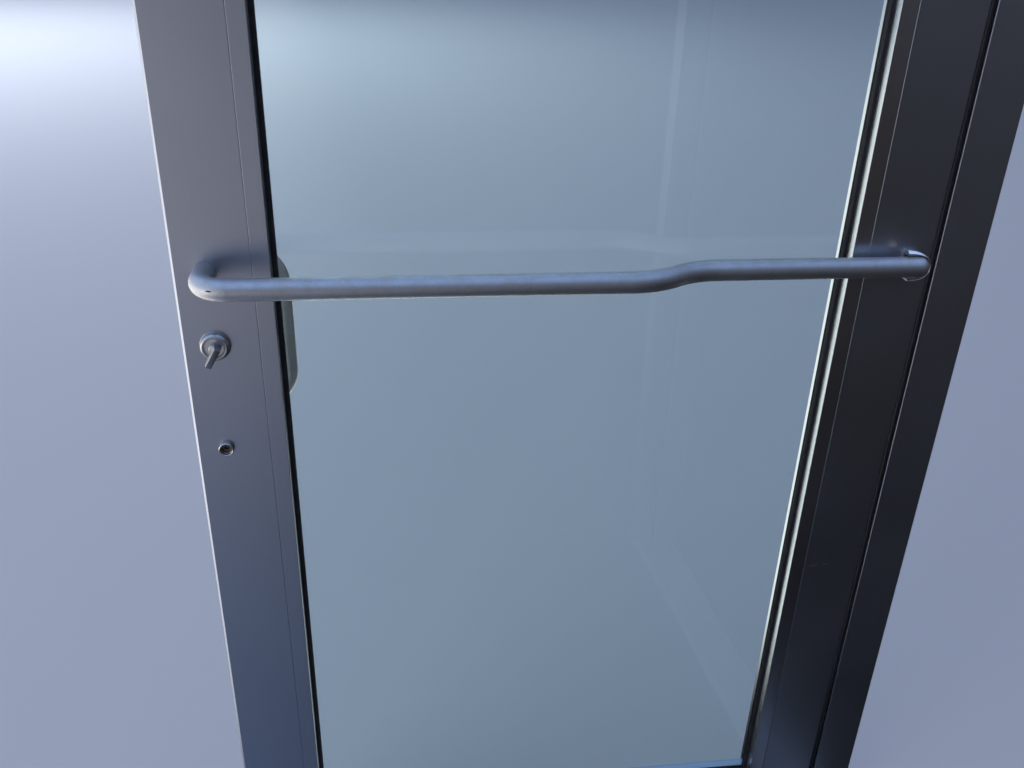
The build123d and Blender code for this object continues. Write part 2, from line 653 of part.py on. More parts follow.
with BuildPart() as hinge_stile:
    with BuildSketch(leaf_plan(LEAF_BOTTOM)) as stile_section:
        span(HINGE_WEB, LEAF_WIDTH, 0, LEAF_THICKNESS)
        fillet(stile_section.vertices(), EDGE_ROUNDING)
        span(
            HINGE_WEB + TUBE_WALL,
            LEAF_WIDTH - TUBE_WALL,
            TUBE_WALL,
            LEAF_THICKNESS - TUBE_WALL,
            mode=Mode.SUBTRACT,
        )
    extrude(amount=LEAF_TOP - LEAF_BOTTOM)
    with BuildSketch(leaf_plan(STOP_LOW)):
        for rib_start, rib_end in LEAF_RIBS:
            span(HINGE_WEB - LEAF_RIB_HEIGHT, HINGE_WEB, rib_start, rib_end)
    extrude(amount=STOP_HIGH - STOP_LOW)
    with BuildSketch(leaf_front(0)):
        discs(SOCKET_SCREW_HOLE, (BAR_END_CENTRE, BAR_HEIGHT))
    extrude(amount=-LEAF_THICKNESS, mode=Mode.SUBTRACT)
    with BuildSketch(leaf_front(LEAF_THICKNESS)):
        discs(PIVOT_SCREW, *ARM_SCREW_PLACES)
    extrude(amount=TUBE_WALL, mode=Mode.SUBTRACT)
    with BuildSketch(leaf_end(HINGE_WEB)):
        discs(TIE_HOLE, *((MID_DEPTH, height) for height in TIE_HEIGHTS))
    extrude(amount=TUBE_WALL, mode=Mode.SUBTRACT)
hinge_stile.part.label = "hinge_stile"
export_step(hinge_stile.part, "parts/hinge_stile.step")

# Rails between the stiles; the bottom rail has a slotted carrier for the sweep
CARRIER_TOP = LEAF_BOTTOM + SWEEP_LIP + SWEEP_FOOT_DEPTH + SWEEP_CARRIER_WALL
FOOT_LOW = LEAF_BOTTOM + SWEEP_LIP
FOOT_HIGH = FOOT_LOW + SWEEP_FOOT_DEPTH

with BuildPart() as bottom_rail:
    with BuildSketch(leaf_end(LOCK_STILE_FACE)) as rail_section:
        span(0, LEAF_THICKNESS, LEAF_BOTTOM, LOWER_WEB)
        fillet(rail_section.vertices(), EDGE_ROUNDING)
        span(
            TUBE_WALL,
            LEAF_THICKNESS - TUBE_WALL,
            LEAF_BOTTOM + TUBE_WALL,
            LOWER_WEB - TUBE_WALL,
            mode=Mode.SUBTRACT,
        )
        carrier_half = SWEEP_FOOT / 2 + SWEEP_CARRIER_WALL
        span(MID_DEPTH - carrier_half, MID_DEPTH + carrier_half, LEAF_BOTTOM, CARRIER_TOP)
        span(
            MID_DEPTH - SWEEP_FIN / 2,
            MID_DEPTH + SWEEP_FIN / 2,
            LEAF_BOTTOM,
            FOOT_LOW,
            mode=Mode.SUBTRACT,
        )
        span(
            MID_DEPTH - SWEEP_FOOT / 2,
            MID_DEPTH + SWEEP_FOOT / 2,
            FOOT_LOW,
            FOOT_HIGH,
            mode=Mode.SUBTRACT,
        )
    extrude(amount=RAIL_LENGTH)
    with BuildSketch(leaf_end(LOCK_STILE_FACE)):
        for rib_start, rib_end in LEAF_RIBS:
            span(rib_start, rib_end, LOWER_WEB, LOWER_WEB + LEAF_RIB_HEIGHT)
    extrude(amount=RAIL_LENGTH)
bottom_rail.part.label = "bottom_rail"
export_step(bottom_rail.part, "parts/bottom_rail.step")

with BuildPart() as top_rail:
    with BuildSketch(leaf_end(LOCK_STILE_FACE)) as rail_section:
        span(0, LEAF_THICKNESS, UPPER_WEB, LEAF_TOP)
        fillet(rail_section.vertices(), EDGE_ROUNDING)
        span(
            TUBE_WALL,
            LEAF_THICKNESS - TUBE_WALL,
            UPPER_WEB + TUBE_WALL,
            LEAF_TOP - TUBE_WALL,
            mode=Mode.SUBTRACT,
        )
    extrude(amount=RAIL_LENGTH)
    with BuildSketch(leaf_end(LOCK_STILE_FACE)):
        for rib_start, rib_end in LEAF_RIBS:
            span(rib_start, rib_end, UPPER_WEB - LEAF_RIB_HEIGHT, UPPER_WEB)
    extrude(amount=RAIL_LENGTH)
top_rail.part.label = "top_rail"
export_step(top_rail.part, "parts/top_rail.step")

# Channel clips inside the rails' ends, and the rods that draw the stiles onto the rails
with BuildPart() as corner_clips:
    for web, inward in ((LOCK_STILE_FACE, 1), (HINGE_WEB, -1)):
        for height in TIE_HEIGHTS:
            with BuildSketch(leaf_end(web)):
                span(
                    TUBE_WALL,
                    LEAF_THICKNESS - TUBE_WALL,
                    height - CLIP_HEIGHT / 2,
                    height + CLIP_HEIGHT / 2,
                )
            extrude(amount=inward * CLIP_LENGTH)
            with BuildSketch(leaf_end(web + inward * CLIP_WALL)):
                span(
                    TUBE_WALL + CLIP_WALL,
                    LEAF_THICKNESS - TUBE_WALL - CLIP_WALL,
                    height - CLIP_HEIGHT / 2,
                    height + CLIP_HEIGHT / 2,
                )
            extrude(amount=inward * CLIP_LENGTH, mode=Mode.SUBTRACT)
            with BuildSketch(leaf_end(web)):
                discs(TIE_HOLE, (MID_DEPTH, height))
            extrude(amount=inward * CLIP_WALL, mode=Mode.SUBTRACT)
corner_clips.part.label = "corner_clips"
export_step(corner_clips.part, "parts/corner_clips.step")

NUT_FROM_LOCK = LOCK_STILE_FACE - TUBE_WALL
NUT_FROM_HINGE = HINGE_WEB + TUBE_WALL
with BuildPart() as tie_rods:
    for height in TIE_HEIGHTS:
        with BuildSketch(leaf_end(NUT_FROM_LOCK - NUT_THICKNESS - ROD_THREAD_END)):
            discs(TIE_ROD, (MID_DEPTH, height))
        extrude(amount=NUT_FROM_HINGE - NUT_FROM_LOCK + 2 * (NUT_THICKNESS + ROD_THREAD_END))
        for seat, outward in ((NUT_FROM_LOCK, -1), (NUT_FROM_HINGE, 1)):
            with BuildSketch(leaf_end(seat)):
                with Locations((MID_DEPTH, height)):
                    RegularPolygon(NUT_ACROSS_FLATS / 2, 6, major_radius=False)
            extrude(amount=outward * NUT_THICKNESS)
tie_rods.part.label = "tie_rods"
export_step(tie_rods.part, "parts/tie_rods.step")

# Glass, its setting blocks and its gaskets
GLASS_LOW = LOWER_WEB + GLASS_EDGE
GLASS_HIGH = UPPER_WEB - GLASS_EDGE
GLASS_LEFT = LOCK_STILE_FACE + GLASS_EDGE
GLASS_RIGHT = HINGE_WEB - GLASS_EDGE
GLASS_NEAR = GLAZING_STOP_DEPTH + GASKET_THICKNESS

with BuildPart() as glass_pane:
    with BuildSketch(leaf_front(GLASS_NEAR)):
        span(GLASS_LEFT, GLASS_RIGHT, GLASS_LOW, GLASS_HIGH)
    extrude(amount=-GLASS_THICKNESS)
    chamfer(glass_pane.edges(), GLASS_ARRIS)
glass_pane.part.label = "glass_pane"
export_step(glass_pane.part, "parts/glass_pane.step")

with BuildPart() as setting_blocks:
    with BuildSketch(leaf_front(GLASS_NEAR)):
        for quarter in (1, 3):
            middle = GLASS_LEFT + (GLASS_RIGHT - GLASS_LEFT) * quarter / 4
            span(
                middle - SETTING_BLOCK_LENGTH / 2,
                middle + SETTING_BLOCK_LENGTH / 2,
                LOWER_WEB,
                GLASS_LOW,
            )
    extrude(amount=-GLASS_THICKNESS)
setting_blocks.part.label = "setting_blocks"
export_step(setting_blocks.part, "parts/setting_blocks.step")

for face_name, near_side, lip_side in (
    ("inner", GLAZING_STOP_DEPTH + GASKET_THICKNESS, 0),
    ("outer", LEAF_THICKNESS - GLAZING_STOP_DEPTH, -1),
):
    with BuildPart() as gasket:
        with BuildSketch(leaf_front(near_side)):
            span(GLASS_LEFT, GLASS_RIGHT, GLASS_LOW, GLASS_HIGH)
            span(
                LOCK_STILE_FACE + GASKET_SIGHT,
                HINGE_WEB - GASKET_SIGHT,
                LOWER_WEB + GASKET_SIGHT,
                UPPER_WEB - GASKET_SIGHT,
                mode=Mode.SUBTRACT,
            )
        extrude(amount=GASKET_THICKNESS)
        lip_face = gasket.faces().sort_by(Axis(leaf_point(0, 0, 0), OUTWARD))[lip_side]
        chamfer(lip_face.inner_wires()[0].edges(), GASKET_BEVEL)
    gasket.part.label = f"{face_name}_gasket"
    export_step(gasket.part, f"parts/{face_name}_gasket.step")

# Glazing stops: x of each plane runs from the web to the glass, y outward through the leaf
STOP_RISE = STOP_HIGH - STOP_LOW
GLAZING_RUNS = {
    "lock": (
        Plane(origin=leaf_point(LOCK_STILE_FACE, 0, STOP_LOW), x_dir=ALONG, z_dir=UP),
        STOP_RISE,
    ),
    "hinge": (
        Plane(origin=leaf_point(HINGE_WEB, 0, STOP_HIGH), x_dir=ALONG * -1, z_dir=UP * -1),
        STOP_RISE,
    ),
    "bottom": (
        Plane(origin=leaf_point(HINGE_WEB, 0, LOWER_WEB), x_dir=UP, z_dir=ALONG * -1),
        RAIL_LENGTH,
    ),
    "top": (
        Plane(origin=leaf_point(LOCK_STILE_FACE, 0, UPPER_WEB), x_dir=UP * -1, z_dir=ALONG),
        RAIL_LENGTH,
    ),
}
for face_name, start, end, face_group in (
    ("inner", 0, GLAZING_STOP_DEPTH, 0),
    ("outer", LEAF_THICKNESS - GLAZING_STOP_DEPTH, LEAF_THICKNESS, -1),
):
    for edge_name, (run_plane, run_length) in GLAZING_RUNS.items():
        with BuildPart() as glazing_stop:
            with BuildSketch(run_plane) as stop_section:
                span(0, GLAZING_STOP_FACE, start, end)
                fillet(stop_section.vertices().group_by(Axis.Y)[face_group], EDGE_ROUNDING)
                span(
                    0,
                    GLAZING_STOP_FACE - GLAZING_STOP_WALL,
                    start + GLAZING_STOP_WALL,
                    end - GLAZING_STOP_WALL,
                    mode=Mode.SUBTRACT,
                )
            extrude(amount=run_length)
        glazing_stop.part.label = f"{face_name}_{edge_name}_glazing_stop"
        export_step(glazing_stop.part, f"parts/{face_name}_{edge_name}_glazing_stop.step")

# Sweep that hangs from the bottom rail to just above the threshold
with BuildPart() as door_sweep:
    with BuildSketch(leaf_end(LOCK_STILE_FACE + SWEEP_END_GAP)):
        span(
            MID_DEPTH - SWEEP_FIN / 2,
            MID_DEPTH + SWEEP_FIN / 2,
            THRESHOLD_HEIGHT + SWEEP_GAP,
            FOOT_LOW,
        )
        span(MID_DEPTH - SWEEP_FOOT / 2, MID_DEPTH + SWEEP_FOOT / 2, FOOT_LOW, FOOT_HIGH)
    extrude(amount=RAIL_LENGTH - 2 * SWEEP_END_GAP)
door_sweep.part.label = "door_sweep"
export_step(door_sweep.part, "parts/door_sweep.step")

# Push bar: a round bar with a bent leg at the lock side and a shallow offset towards the hinge side
OFFSET_DROP = BAR_STANDOFF - BAR_END_STANDOFF
OFFSET_ANGLE = 2 * degrees(atan(OFFSET_DROP / OFFSET_LENGTH))
OFFSET_RADIUS = OFFSET_LENGTH / (2 * sin(radians(OFFSET_ANGLE)))
BAR_RADIUS = BAR_DIAMETER / 2

with BuildPart() as push_bar:
    with BuildLine(leaf_plan(BAR_HEIGHT)):
        leg = Line((BAR_ALONG, 0), (BAR_ALONG, BAR_BEND_RADIUS - BAR_STANDOFF))
        bend = JernArc(leg @ 1, leg % 1, BAR_BEND_RADIUS, 90)
        grip = Line(bend @ 1, (OFFSET_START, -BAR_STANDOFF))
        lead_in = JernArc(grip @ 1, grip % 1, OFFSET_RADIUS, OFFSET_ANGLE)
        lead_out = JernArc(lead_in @ 1, lead_in % 1, OFFSET_RADIUS, -OFFSET_ANGLE)
        Line(lead_out @ 1, (BAR_END_CENTRE, -BAR_END_STANDOFF))
    with BuildSketch(
        Plane(origin=leaf_point(BAR_ALONG, 0, BAR_HEIGHT), x_dir=ALONG, z_dir=OUTWARD * -1)
    ):
        Circle(BAR_RADIUS)
    sweep()
    with Locations(leaf_point(BAR_END_CENTRE, -BAR_END_STANDOFF, BAR_HEIGHT)):
        Sphere(BAR_RADIUS)
    with BuildSketch(leaf_front(0)):
        discs(THROUGH_BOLT, (BAR_ALONG, BAR_HEIGHT))
    extrude(amount=TAPPED_DEPTH, mode=Mode.SUBTRACT)
    with BuildSketch(leaf_front(0)):
        discs(SOCKET_SCREW, (BAR_END_CENTRE, BAR_HEIGHT))
    extrude(amount=BAR_END_STANDOFF, mode=Mode.SUBTRACT)
push_bar.part.label = "push_bar"
export_step(push_bar.part, "parts/push_bar.step")

# Open-ended socket round the bar's far end, and the screw that holds both from outside
SOCKET_INNER = BAR_DIAMETER + 2 * SOCKET_GAP
SOCKET_OUTER = SOCKET_INNER + 2 * SOCKET_WALL
SOCKET_FLOOR = BAR_END_STANDOFF - BAR_RADIUS

with BuildPart() as bar_socket:
    with BuildSketch(leaf_front(0)):
        discs(SOCKET_OUTER, (BAR_END_CENTRE, BAR_HEIGHT))
        span(
            BAR_END_CENTRE - SOCKET_OUTER,
            BAR_END_CENTRE,
            BAR_HEIGHT - SOCKET_OUTER / 2,
            BAR_HEIGHT + SOCKET_OUTER / 2,
        )
        span(
            BAR_END_CENTRE - SOCKET_OUTER,
            BAR_END_CENTRE - SOCKET_LENGTH,
            BAR_HEIGHT - SOCKET_OUTER,
            BAR_HEIGHT + SOCKET_OUTER,
            mode=Mode.SUBTRACT,
        )
    extrude(amount=SOCKET_RIM)
    with BuildSketch(leaf_front(-SOCKET_FLOOR)):
        discs(SOCKET_INNER, (BAR_END_CENTRE, BAR_HEIGHT))
        span(
            BAR_END_CENTRE - SOCKET_OUTER,
            BAR_END_CENTRE,
            BAR_HEIGHT - SOCKET_INNER / 2,
            BAR_HEIGHT + SOCKET_INNER / 2,
        )
    extrude(amount=SOCKET_RIM, mode=Mode.SUBTRACT)
    with BuildSketch(leaf_front(0)):
        discs(SOCKET_SCREW, (BAR_END_CENTRE, BAR_HEIGHT))
    extrude(amount=SOCKET_FLOOR, mode=Mode.SUBTRACT)
bar_socket.part.label = "bar_socket"
export_step(bar_socket.part, "parts/bar_socket.step")

with BuildPart() as bar_screw:
    with BuildSketch(leaf_front(LEAF_THICKNESS)):
        discs(SOCKET_SCREW, (BAR_END_CENTRE, BAR_HEIGHT))
    extrude(amount=LEAF_THICKNESS + BAR_END_STANDOFF - THREAD_END_GAP)
    with BuildSketch(leaf_front(LEAF_THICKNESS)):
        discs(SOCKET_SCREW_HEAD, (BAR_END_CENTRE, BAR_HEIGHT))
    extrude(amount=-SOCKET_SCREW_HEAD_HEIGHT)
    head_rim = bar_screw.faces().sort_by(Axis(leaf_point(0, 0, 0), OUTWARD))[-1]
    fillet(head_rim.edges(), HEAD_ROUNDING)
bar_screw.part.label = "bar_screw"
export_step(bar_screw.part, "parts/bar_screw.step")

# Offset pull on the outer face: legs straight out, then sloping arms to a shorter grip nearer the glass
GRIP_TOP = BAR_HEIGHT - PULL_ARM_SLOPE
GRIP_FOOT = PULL_LOW_HEIGHT + PULL_ARM_SLOPE
PULL_CORNERS = (
    leaf_point(BAR_ALONG, LEAF_THICKNESS, BAR_HEIGHT),
    leaf_point(BAR_ALONG, LEAF_THICKNESS + PULL_STANDOFF, BAR_HEIGHT),
    leaf_point(BAR_ALONG + PULL_OFFSET, LEAF_THICKNESS + PULL_STANDOFF, GRIP_TOP),
    leaf_point(BAR_ALONG + PULL_OFFSET, LEAF_THICKNESS + PULL_STANDOFF, GRIP_FOOT),
    leaf_point(BAR_ALONG, LEAF_THICKNESS + PULL_STANDOFF, PULL_LOW_HEIGHT),
    leaf_point(BAR_ALONG, LEAF_THICKNESS, PULL_LOW_HEIGHT),
)
with BuildPart() as pull_handle:
    with BuildLine():
        FilletPolyline(
            *PULL_CORNERS,
            radius=(PULL_LEG_RADIUS, PULL_CORNER_RADIUS, PULL_CORNER_RADIUS, PULL_LEG_RADIUS),
        )
    with BuildSketch(Plane(origin=PULL_CORNERS[0], x_dir=ALONG, z_dir=OUTWARD)):
        Circle(PULL_DIAMETER / 2)
    sweep()
    with BuildSketch(leaf_front(LEAF_THICKNESS)):
        discs(THROUGH_BOLT, (BAR_ALONG, BAR_HEIGHT), (BAR_ALONG, PULL_LOW_HEIGHT))
    extrude(amount=-TAPPED_DEPTH, mode=Mode.SUBTRACT)
pull_handle.part.label = "pull_handle"
export_step(pull_handle.part, "parts/pull_handle.step")

# Through bolts: the upper joins bar and pull, the lower has its head in a ferrule
FERRULE_FLOOR = FERRULE_DEPTH - FERRULE_BASE
BOLT_INNER_END = TAPPED_DEPTH - THREAD_END_GAP
BOLT_OUTER_END = LEAF_THICKNESS + TAPPED_DEPTH - THREAD_END_GAP

with BuildPart() as handle_bolts:
    with BuildSketch(leaf_front(BOLT_OUTER_END)):
        discs(THROUGH_BOLT, (BAR_ALONG, BAR_HEIGHT))
    extrude(amount=BOLT_OUTER_END + BOLT_INNER_END)
    with BuildSketch(leaf_front(BOLT_OUTER_END)):
        discs(THROUGH_BOLT, (BAR_ALONG, PULL_LOW_HEIGHT))
    extrude(amount=BOLT_OUTER_END - FERRULE_FLOOR)
    with BuildSketch(leaf_front(FERRULE_FLOOR)):
        discs(BOLT_HEAD, (BAR_ALONG, PULL_LOW_HEIGHT))
    extrude(amount=BOLT_HEAD_HEIGHT)
    with BuildSketch(leaf_front(FERRULE_FLOOR - BOLT_HEAD_HEIGHT)):
        with Locations((BAR_ALONG, PULL_LOW_HEIGHT)):
            RegularPolygon(HEX_SOCKET / 2, 6, major_radius=False)
    extrude(amount=-HEX_SOCKET_DEPTH, mode=Mode.SUBTRACT)
handle_bolts.part.label = "handle_bolts"
export_step(handle_bolts.part, "parts/handle_bolts.step")

with BuildPart() as bolt_ferrule:
    with BuildSketch(leaf_front(0)):
        discs(FERRULE_DIAMETER, (BAR_ALONG, PULL_LOW_HEIGHT))
    extrude(amount=FERRULE_HEIGHT)
    fillet(bolt_ferrule.faces().sort_by(Axis(leaf_point(0, 0, 0), OUTWARD))[0].edges(), FERRULE_ROUNDING)
    with BuildSketch(leaf_front(0)):
        discs(FERRULE_BARREL, (BAR_ALONG, PULL_LOW_HEIGHT))
    extrude(amount=-FERRULE_DEPTH)
    with BuildSketch(leaf_front(FERRULE_FLOOR)):
        discs(FERRULE_RECESS, (BAR_ALONG, PULL_LOW_HEIGHT))
    extrude(amount=FERRULE_DEPTH + FERRULE_HEIGHT, mode=Mode.SUBTRACT)
    with BuildSketch(leaf_front(FERRULE_FLOOR)):
        discs(THROUGH_HOLE, (BAR_ALONG, PULL_LOW_HEIGHT))
    extrude(amount=-FERRULE_BASE, mode=Mode.SUBTRACT)
bolt_ferrule.part.label = "bolt_ferrule"
export_step(bolt_ferrule.part, "parts/bolt_ferrule.step")

# Lock case: a shell open at the leaf's edge, with the pin that carries the swinging bolt
with BuildPart() as lock_case:
    with BuildSketch(leaf_end(TUBE_WALL)):
        span(CASE_SIDE, LEAF_THICKNESS - CASE_SIDE, CASE_BOTTOM, CASE_TOP)
    extrude(amount=CASE_DEPTH)
    with BuildSketch(leaf_end(TUBE_WALL)):
        span(
            CASE_SIDE + CASE_WALL,
            LEAF_THICKNESS - CASE_SIDE - CASE_WALL,
            CASE_BOTTOM + CASE_END,
            CASE_TOP - CASE_END,
        )
    extrude(amount=CASE_DEPTH - CASE_WALL, mode=Mode.SUBTRACT)
    with BuildSketch(leaf_front(CASE_SIDE)):
        discs(BOLT_PIN, (BOLT_PIVOT_ALONG, BOLT_PIVOT_HEIGHT))
    extrude(amount=-CASE_THICKNESS)
    with BuildSketch(leaf_front(CASE_SIDE)):
        discs(SPINDLE + 2 * RUNNING_CLEARANCE, (CYLINDER_ALONG, CYLINDER_HEIGHT))
    extrude(amount=-CASE_WALL, mode=Mode.SUBTRACT)
    with BuildSketch(leaf_end(TUBE_WALL)):
        discs(FACEPLATE_SCREW, *((MID_DEPTH, height) for height in FACEPLATE_SCREW_HEIGHTS))
    extrude(amount=FACEPLATE_SCREW_LENGTH, mode=Mode.SUBTRACT)
lock_case.part.label = "lock_case"
export_step(lock_case.part, "parts/lock_case.step")

# Deadbolt: hangs on the case's pin, upright when drawn in, and swings out of the leaf's edge
with BuildPart() as deadbolt:
    with BuildSketch(leaf_front(MID_DEPTH + BOLT_THICKNESS / 2)) as bolt_outline:
        span(
            BOLT_PIVOT_ALONG - BOLT_WIDTH / 2,
            BOLT_PIVOT_ALONG + BOLT_WIDTH / 2,
            BOLT_PIVOT_HEIGHT,
            BOLT_PIVOT_HEIGHT + BOLT_REACH,
        )
        fillet(bolt_outline.vertices().group_by(Axis.Y)[-1], BOLT_TIP_ROUNDING)
        discs(BOLT_WIDTH, (BOLT_PIVOT_ALONG, BOLT_PIVOT_HEIGHT))
        discs(
            BOLT_PIN + 2 * RUNNING_CLEARANCE,
            (BOLT_PIVOT_ALONG, BOLT_PIVOT_HEIGHT),
            mode=Mode.SUBTRACT,
        )
    extrude(amount=BOLT_THICKNESS)
deadbolt.part.label = "deadbolt"
export_step(deadbolt.part, "parts/deadbolt.step")

# Faceplate let into the leaf's edge
EDGE_FACE = Plane(origin=leaf_point(0, MID_DEPTH, 0), x_dir=OUTWARD * -1, z_dir=ALONG * -1)

with BuildPart() as lock_faceplate:
    with BuildSketch(leaf_end(0)):
        span(CASE_SIDE, LEAF_THICKNESS - CASE_SIDE, CASE_BOTTOM, CASE_TOP)
        span(
            MID_DEPTH - BOLT_SLOT_WIDTH / 2,
            MID_DEPTH + BOLT_SLOT_WIDTH / 2,
            SLOT_BOTTOM,
            SLOT_TOP,
            mode=Mode.SUBTRACT,
        )
    extrude(amount=TUBE_WALL)
    with Locations(EDGE_FACE):
        with Locations(*((0, height) for height in FACEPLATE_SCREW_HEIGHTS)):
            CounterSinkHole(
                FACEPLATE_SCREW / 2, FACEPLATE_SCREW_HEAD / 2, counter_sink_angle=COUNTERSINK_ANGLE
            )
lock_faceplate.part.label = "lock_faceplate"
export_step(lock_faceplate.part, "parts/lock_faceplate.step")

with BuildPart() as faceplate_screws:
    countersunk_screws(EDGE_FACE, [(0, height) for height in FACEPLATE_SCREW_HEIGHTS])
faceplate_screws.part.label = "faceplate_screws"
export_step(faceplate_screws.part, "parts/faceplate_screws.step")

# Thumbturn side: threaded cylinder through the stile, tapered collar round its nose, and the turn
CYLINDER_AXIS = Plane(
    origin=leaf_point(CYLINDER_ALONG, 0, CYLINDER_HEIGHT), x_dir=ALONG, z_dir=OUTWARD * -1
)
CYLINDER_FACE = COLLAR_HEIGHT - COLLAR_FACE_SINK

with BuildPart() as thumbturn_cylinder:
    with BuildSketch(CYLINDER_AXIS):
        Circle(CYLINDER_DIAMETER / 2)
    extrude(amount=-CASE_SIDE)
    with BuildSketch(CYLINDER_AXIS):
        Circle(COLLAR_BORE / 2)
    extrude(amount=CYLINDER_FACE)
    with BuildSketch(CYLINDER_AXIS.offset(-CASE_SIDE)):
        Circle(SPINDLE / 2 + RUNNING_CLEARANCE)
    extrude(amount=CASE_SIDE + CYLINDER_FACE, mode=Mode.SUBTRACT)
thumbturn_cylinder.part.label = "thumbturn_cylinder"
export_step(thumbturn_cylinder.part, "parts/thumbturn_cylinder.step")

with BuildPart() as thumbturn_collar:
    with BuildSketch(CYLINDER_AXIS):
        Circle(COLLAR_BASE / 2)
    extrude(amount=COLLAR_STEP)
    with BuildSketch(CYLINDER_AXIS.offset(COLLAR_STEP)):
        Circle(COLLAR_BASE / 2)
    with BuildSketch(CYLINDER_AXIS.offset(COLLAR_HEIGHT)):
        Circle(COLLAR_FRONT / 2)
    loft()
    fillet(
        thumbturn_collar.faces().sort_by(Axis(leaf_point(0, 0, 0), OUTWARD))[0].edges(),
        COLLAR_ROUNDING,
    )
    with BuildSketch(CYLINDER_AXIS):
        Circle(COLLAR_BORE / 2)
    extrude(amount=COLLAR_HEIGHT, mode=Mode.SUBTRACT)
thumbturn_collar.part.label = "thumbturn_collar"
export_step(thumbturn_collar.part, "parts/thumbturn_collar.step")

TURN_SEAT = CYLINDER_FACE + TURN_GAP
SPINDLE_LENGTH = TURN_SEAT + CASE_SIDE + CASE_WALL
BLADE_SEAT = COLLAR_HEIGHT + TURN_GAP
LEAN = radians(TURN_LEAN)
BLADE_PLANE = Plane(
    origin=leaf_point(CYLINDER_ALONG, -BLADE_SEAT, CYLINDER_HEIGHT),
    x_dir=ALONG * cos(LEAN) - UP * sin(LEAN),
    z_dir=OUTWARD * -1,
)

with BuildPart() as thumbturn:
    with BuildSketch(CYLINDER_AXIS.offset(TURN_SEAT)):
        Circle(SPINDLE / 2)
    extrude(amount=-SPINDLE_LENGTH)
    with BuildSketch(CYLINDER_AXIS.offset(TURN_SEAT)):
        Circle(TURN_HUB / 2)
    extrude(amount=TURN_HUB_HEIGHT)
    with BuildSketch(BLADE_PLANE) as turn_outline:
        with BuildLine():
            Polyline(
                (-TURN_THICKNESS / 2, TURN_TAIL),
                (TURN_THICKNESS / 2, TURN_TAIL),
                (TURN_TIP_WIDTH / 2, -TURN_REACH),
                (-TURN_TIP_WIDTH / 2, -TURN_REACH),
                close=True,
            )
        make_face()
        fillet(turn_outline.vertices(), TURN_ROUNDING)
    extrude(amount=TURN_PROUD)
thumbturn.part.label = "thumbturn"
export_step(thumbturn.part, "parts/thumbturn.step")

# Key side: ring, threaded cylinder and the plug that turns in it
KEY_AXIS = Plane(
    origin=leaf_point(CYLINDER_ALONG, LEAF_THICKNESS, CYLINDER_HEIGHT),
    x_dir=ALONG * -1,
    z_dir=OUTWARD,
)
with BuildPart() as cylinder_ring:
    with BuildSketch(KEY_AXIS):
        Circle(RING_DIAMETER / 2)
    extrude(amount=RING_HEIGHT)
    fillet(
        cylinder_ring.faces().sort_by(Axis(leaf_point(0, 0, 0), OUTWARD))[-1].edges(),
        COLLAR_ROUNDING,
    )
    with BuildSketch(KEY_AXIS):
        Circle(CYLINDER_HOLE / 2)
    extrude(amount=RING_HEIGHT, mode=Mode.SUBTRACT)
cylinder_ring.part.label = "cylinder_ring"
export_step(cylinder_ring.part, "parts/cylinder_ring.step")

with BuildPart() as key_cylinder:
    with BuildSketch(KEY_AXIS.offset(-CASE_SIDE)):
        Circle(CYLINDER_DIAMETER / 2)
    extrude(amount=CASE_SIDE + CYLINDER_PROUD)
    with BuildSketch(KEY_AXIS.offset(CYLINDER_PROUD)):
        Circle(PLUG_DIAMETER / 2 + RUNNING_CLEARANCE)
    extrude(amount=-PLUG_LENGTH - TURN_GAP, mode=Mode.SUBTRACT)
key_cylinder.part.label = "key_cylinder"
export_step(key_cylinder.part, "parts/key_cylinder.step")

with BuildPart() as cylinder_plug:
    with BuildSketch(KEY_AXIS.offset(CYLINDER_PROUD)):
        Circle(PLUG_DIAMETER / 2)
    extrude(amount=-PLUG_LENGTH)
    with BuildSketch(KEY_AXIS.offset(CYLINDER_PROUD)):
        Rectangle(KEYWAY_WIDTH, KEYWAY_HEIGHT)
    extrude(amount=-KEYWAY_DEPTH, mode=Mode.SUBTRACT)
cylinder_plug.part.label = "cylinder_plug"
export_step(cylinder_plug.part, "parts/cylinder_plug.step")

# Offset pivots: a pin on the floor and one under the header, and the arms on the leaf that turn on them
PIVOT_PLACE = (PIVOT_X, PIVOT_Y)
BRACKET_LOW = OPENING_HEIGHT + BRACKET_INSET

with BuildPart() as bottom_pivot:
    with BuildSketch(Plane.XY):
        span(PIVOT_X, PIVOT_X + BASE_REACH, OUTER_SIDE, PIVOT_Y + PIVOT_BOSS / 2)
        discs(PIVOT_BOSS, PIVOT_PLACE)
    extrude(amount=BASE_PLATE)
    with BuildSketch(Plane.XY):
        span(PIVOT_X + LEG_START, PIVOT_X + BASE_REACH, OUTER_SIDE, OUTER_SIDE + BASE_LEG)
    extrude(amount=BASE_LEG_HEIGHT)
    with BuildSketch(Plane.XY.offset(BASE_PLATE)):
        discs(PIVOT_PIN, PIVOT_PLACE)
    extrude(amount=PIVOT_GAP + ARM_LUG + PIN_PAST_LUG)
    with BuildSketch(Plane.XZ.offset(-OUTER_SIDE - BASE_LEG)):
        discs(PIVOT_SCREW, *((LEG_MIDDLE, height) for height in BASE_SCREW_HEIGHTS))
    extrude(amount=BASE_LEG, mode=Mode.SUBTRACT)
bottom_pivot.part.label = "bottom_pivot"
export_step(bottom_pivot.part, "parts/bottom_pivot.step")

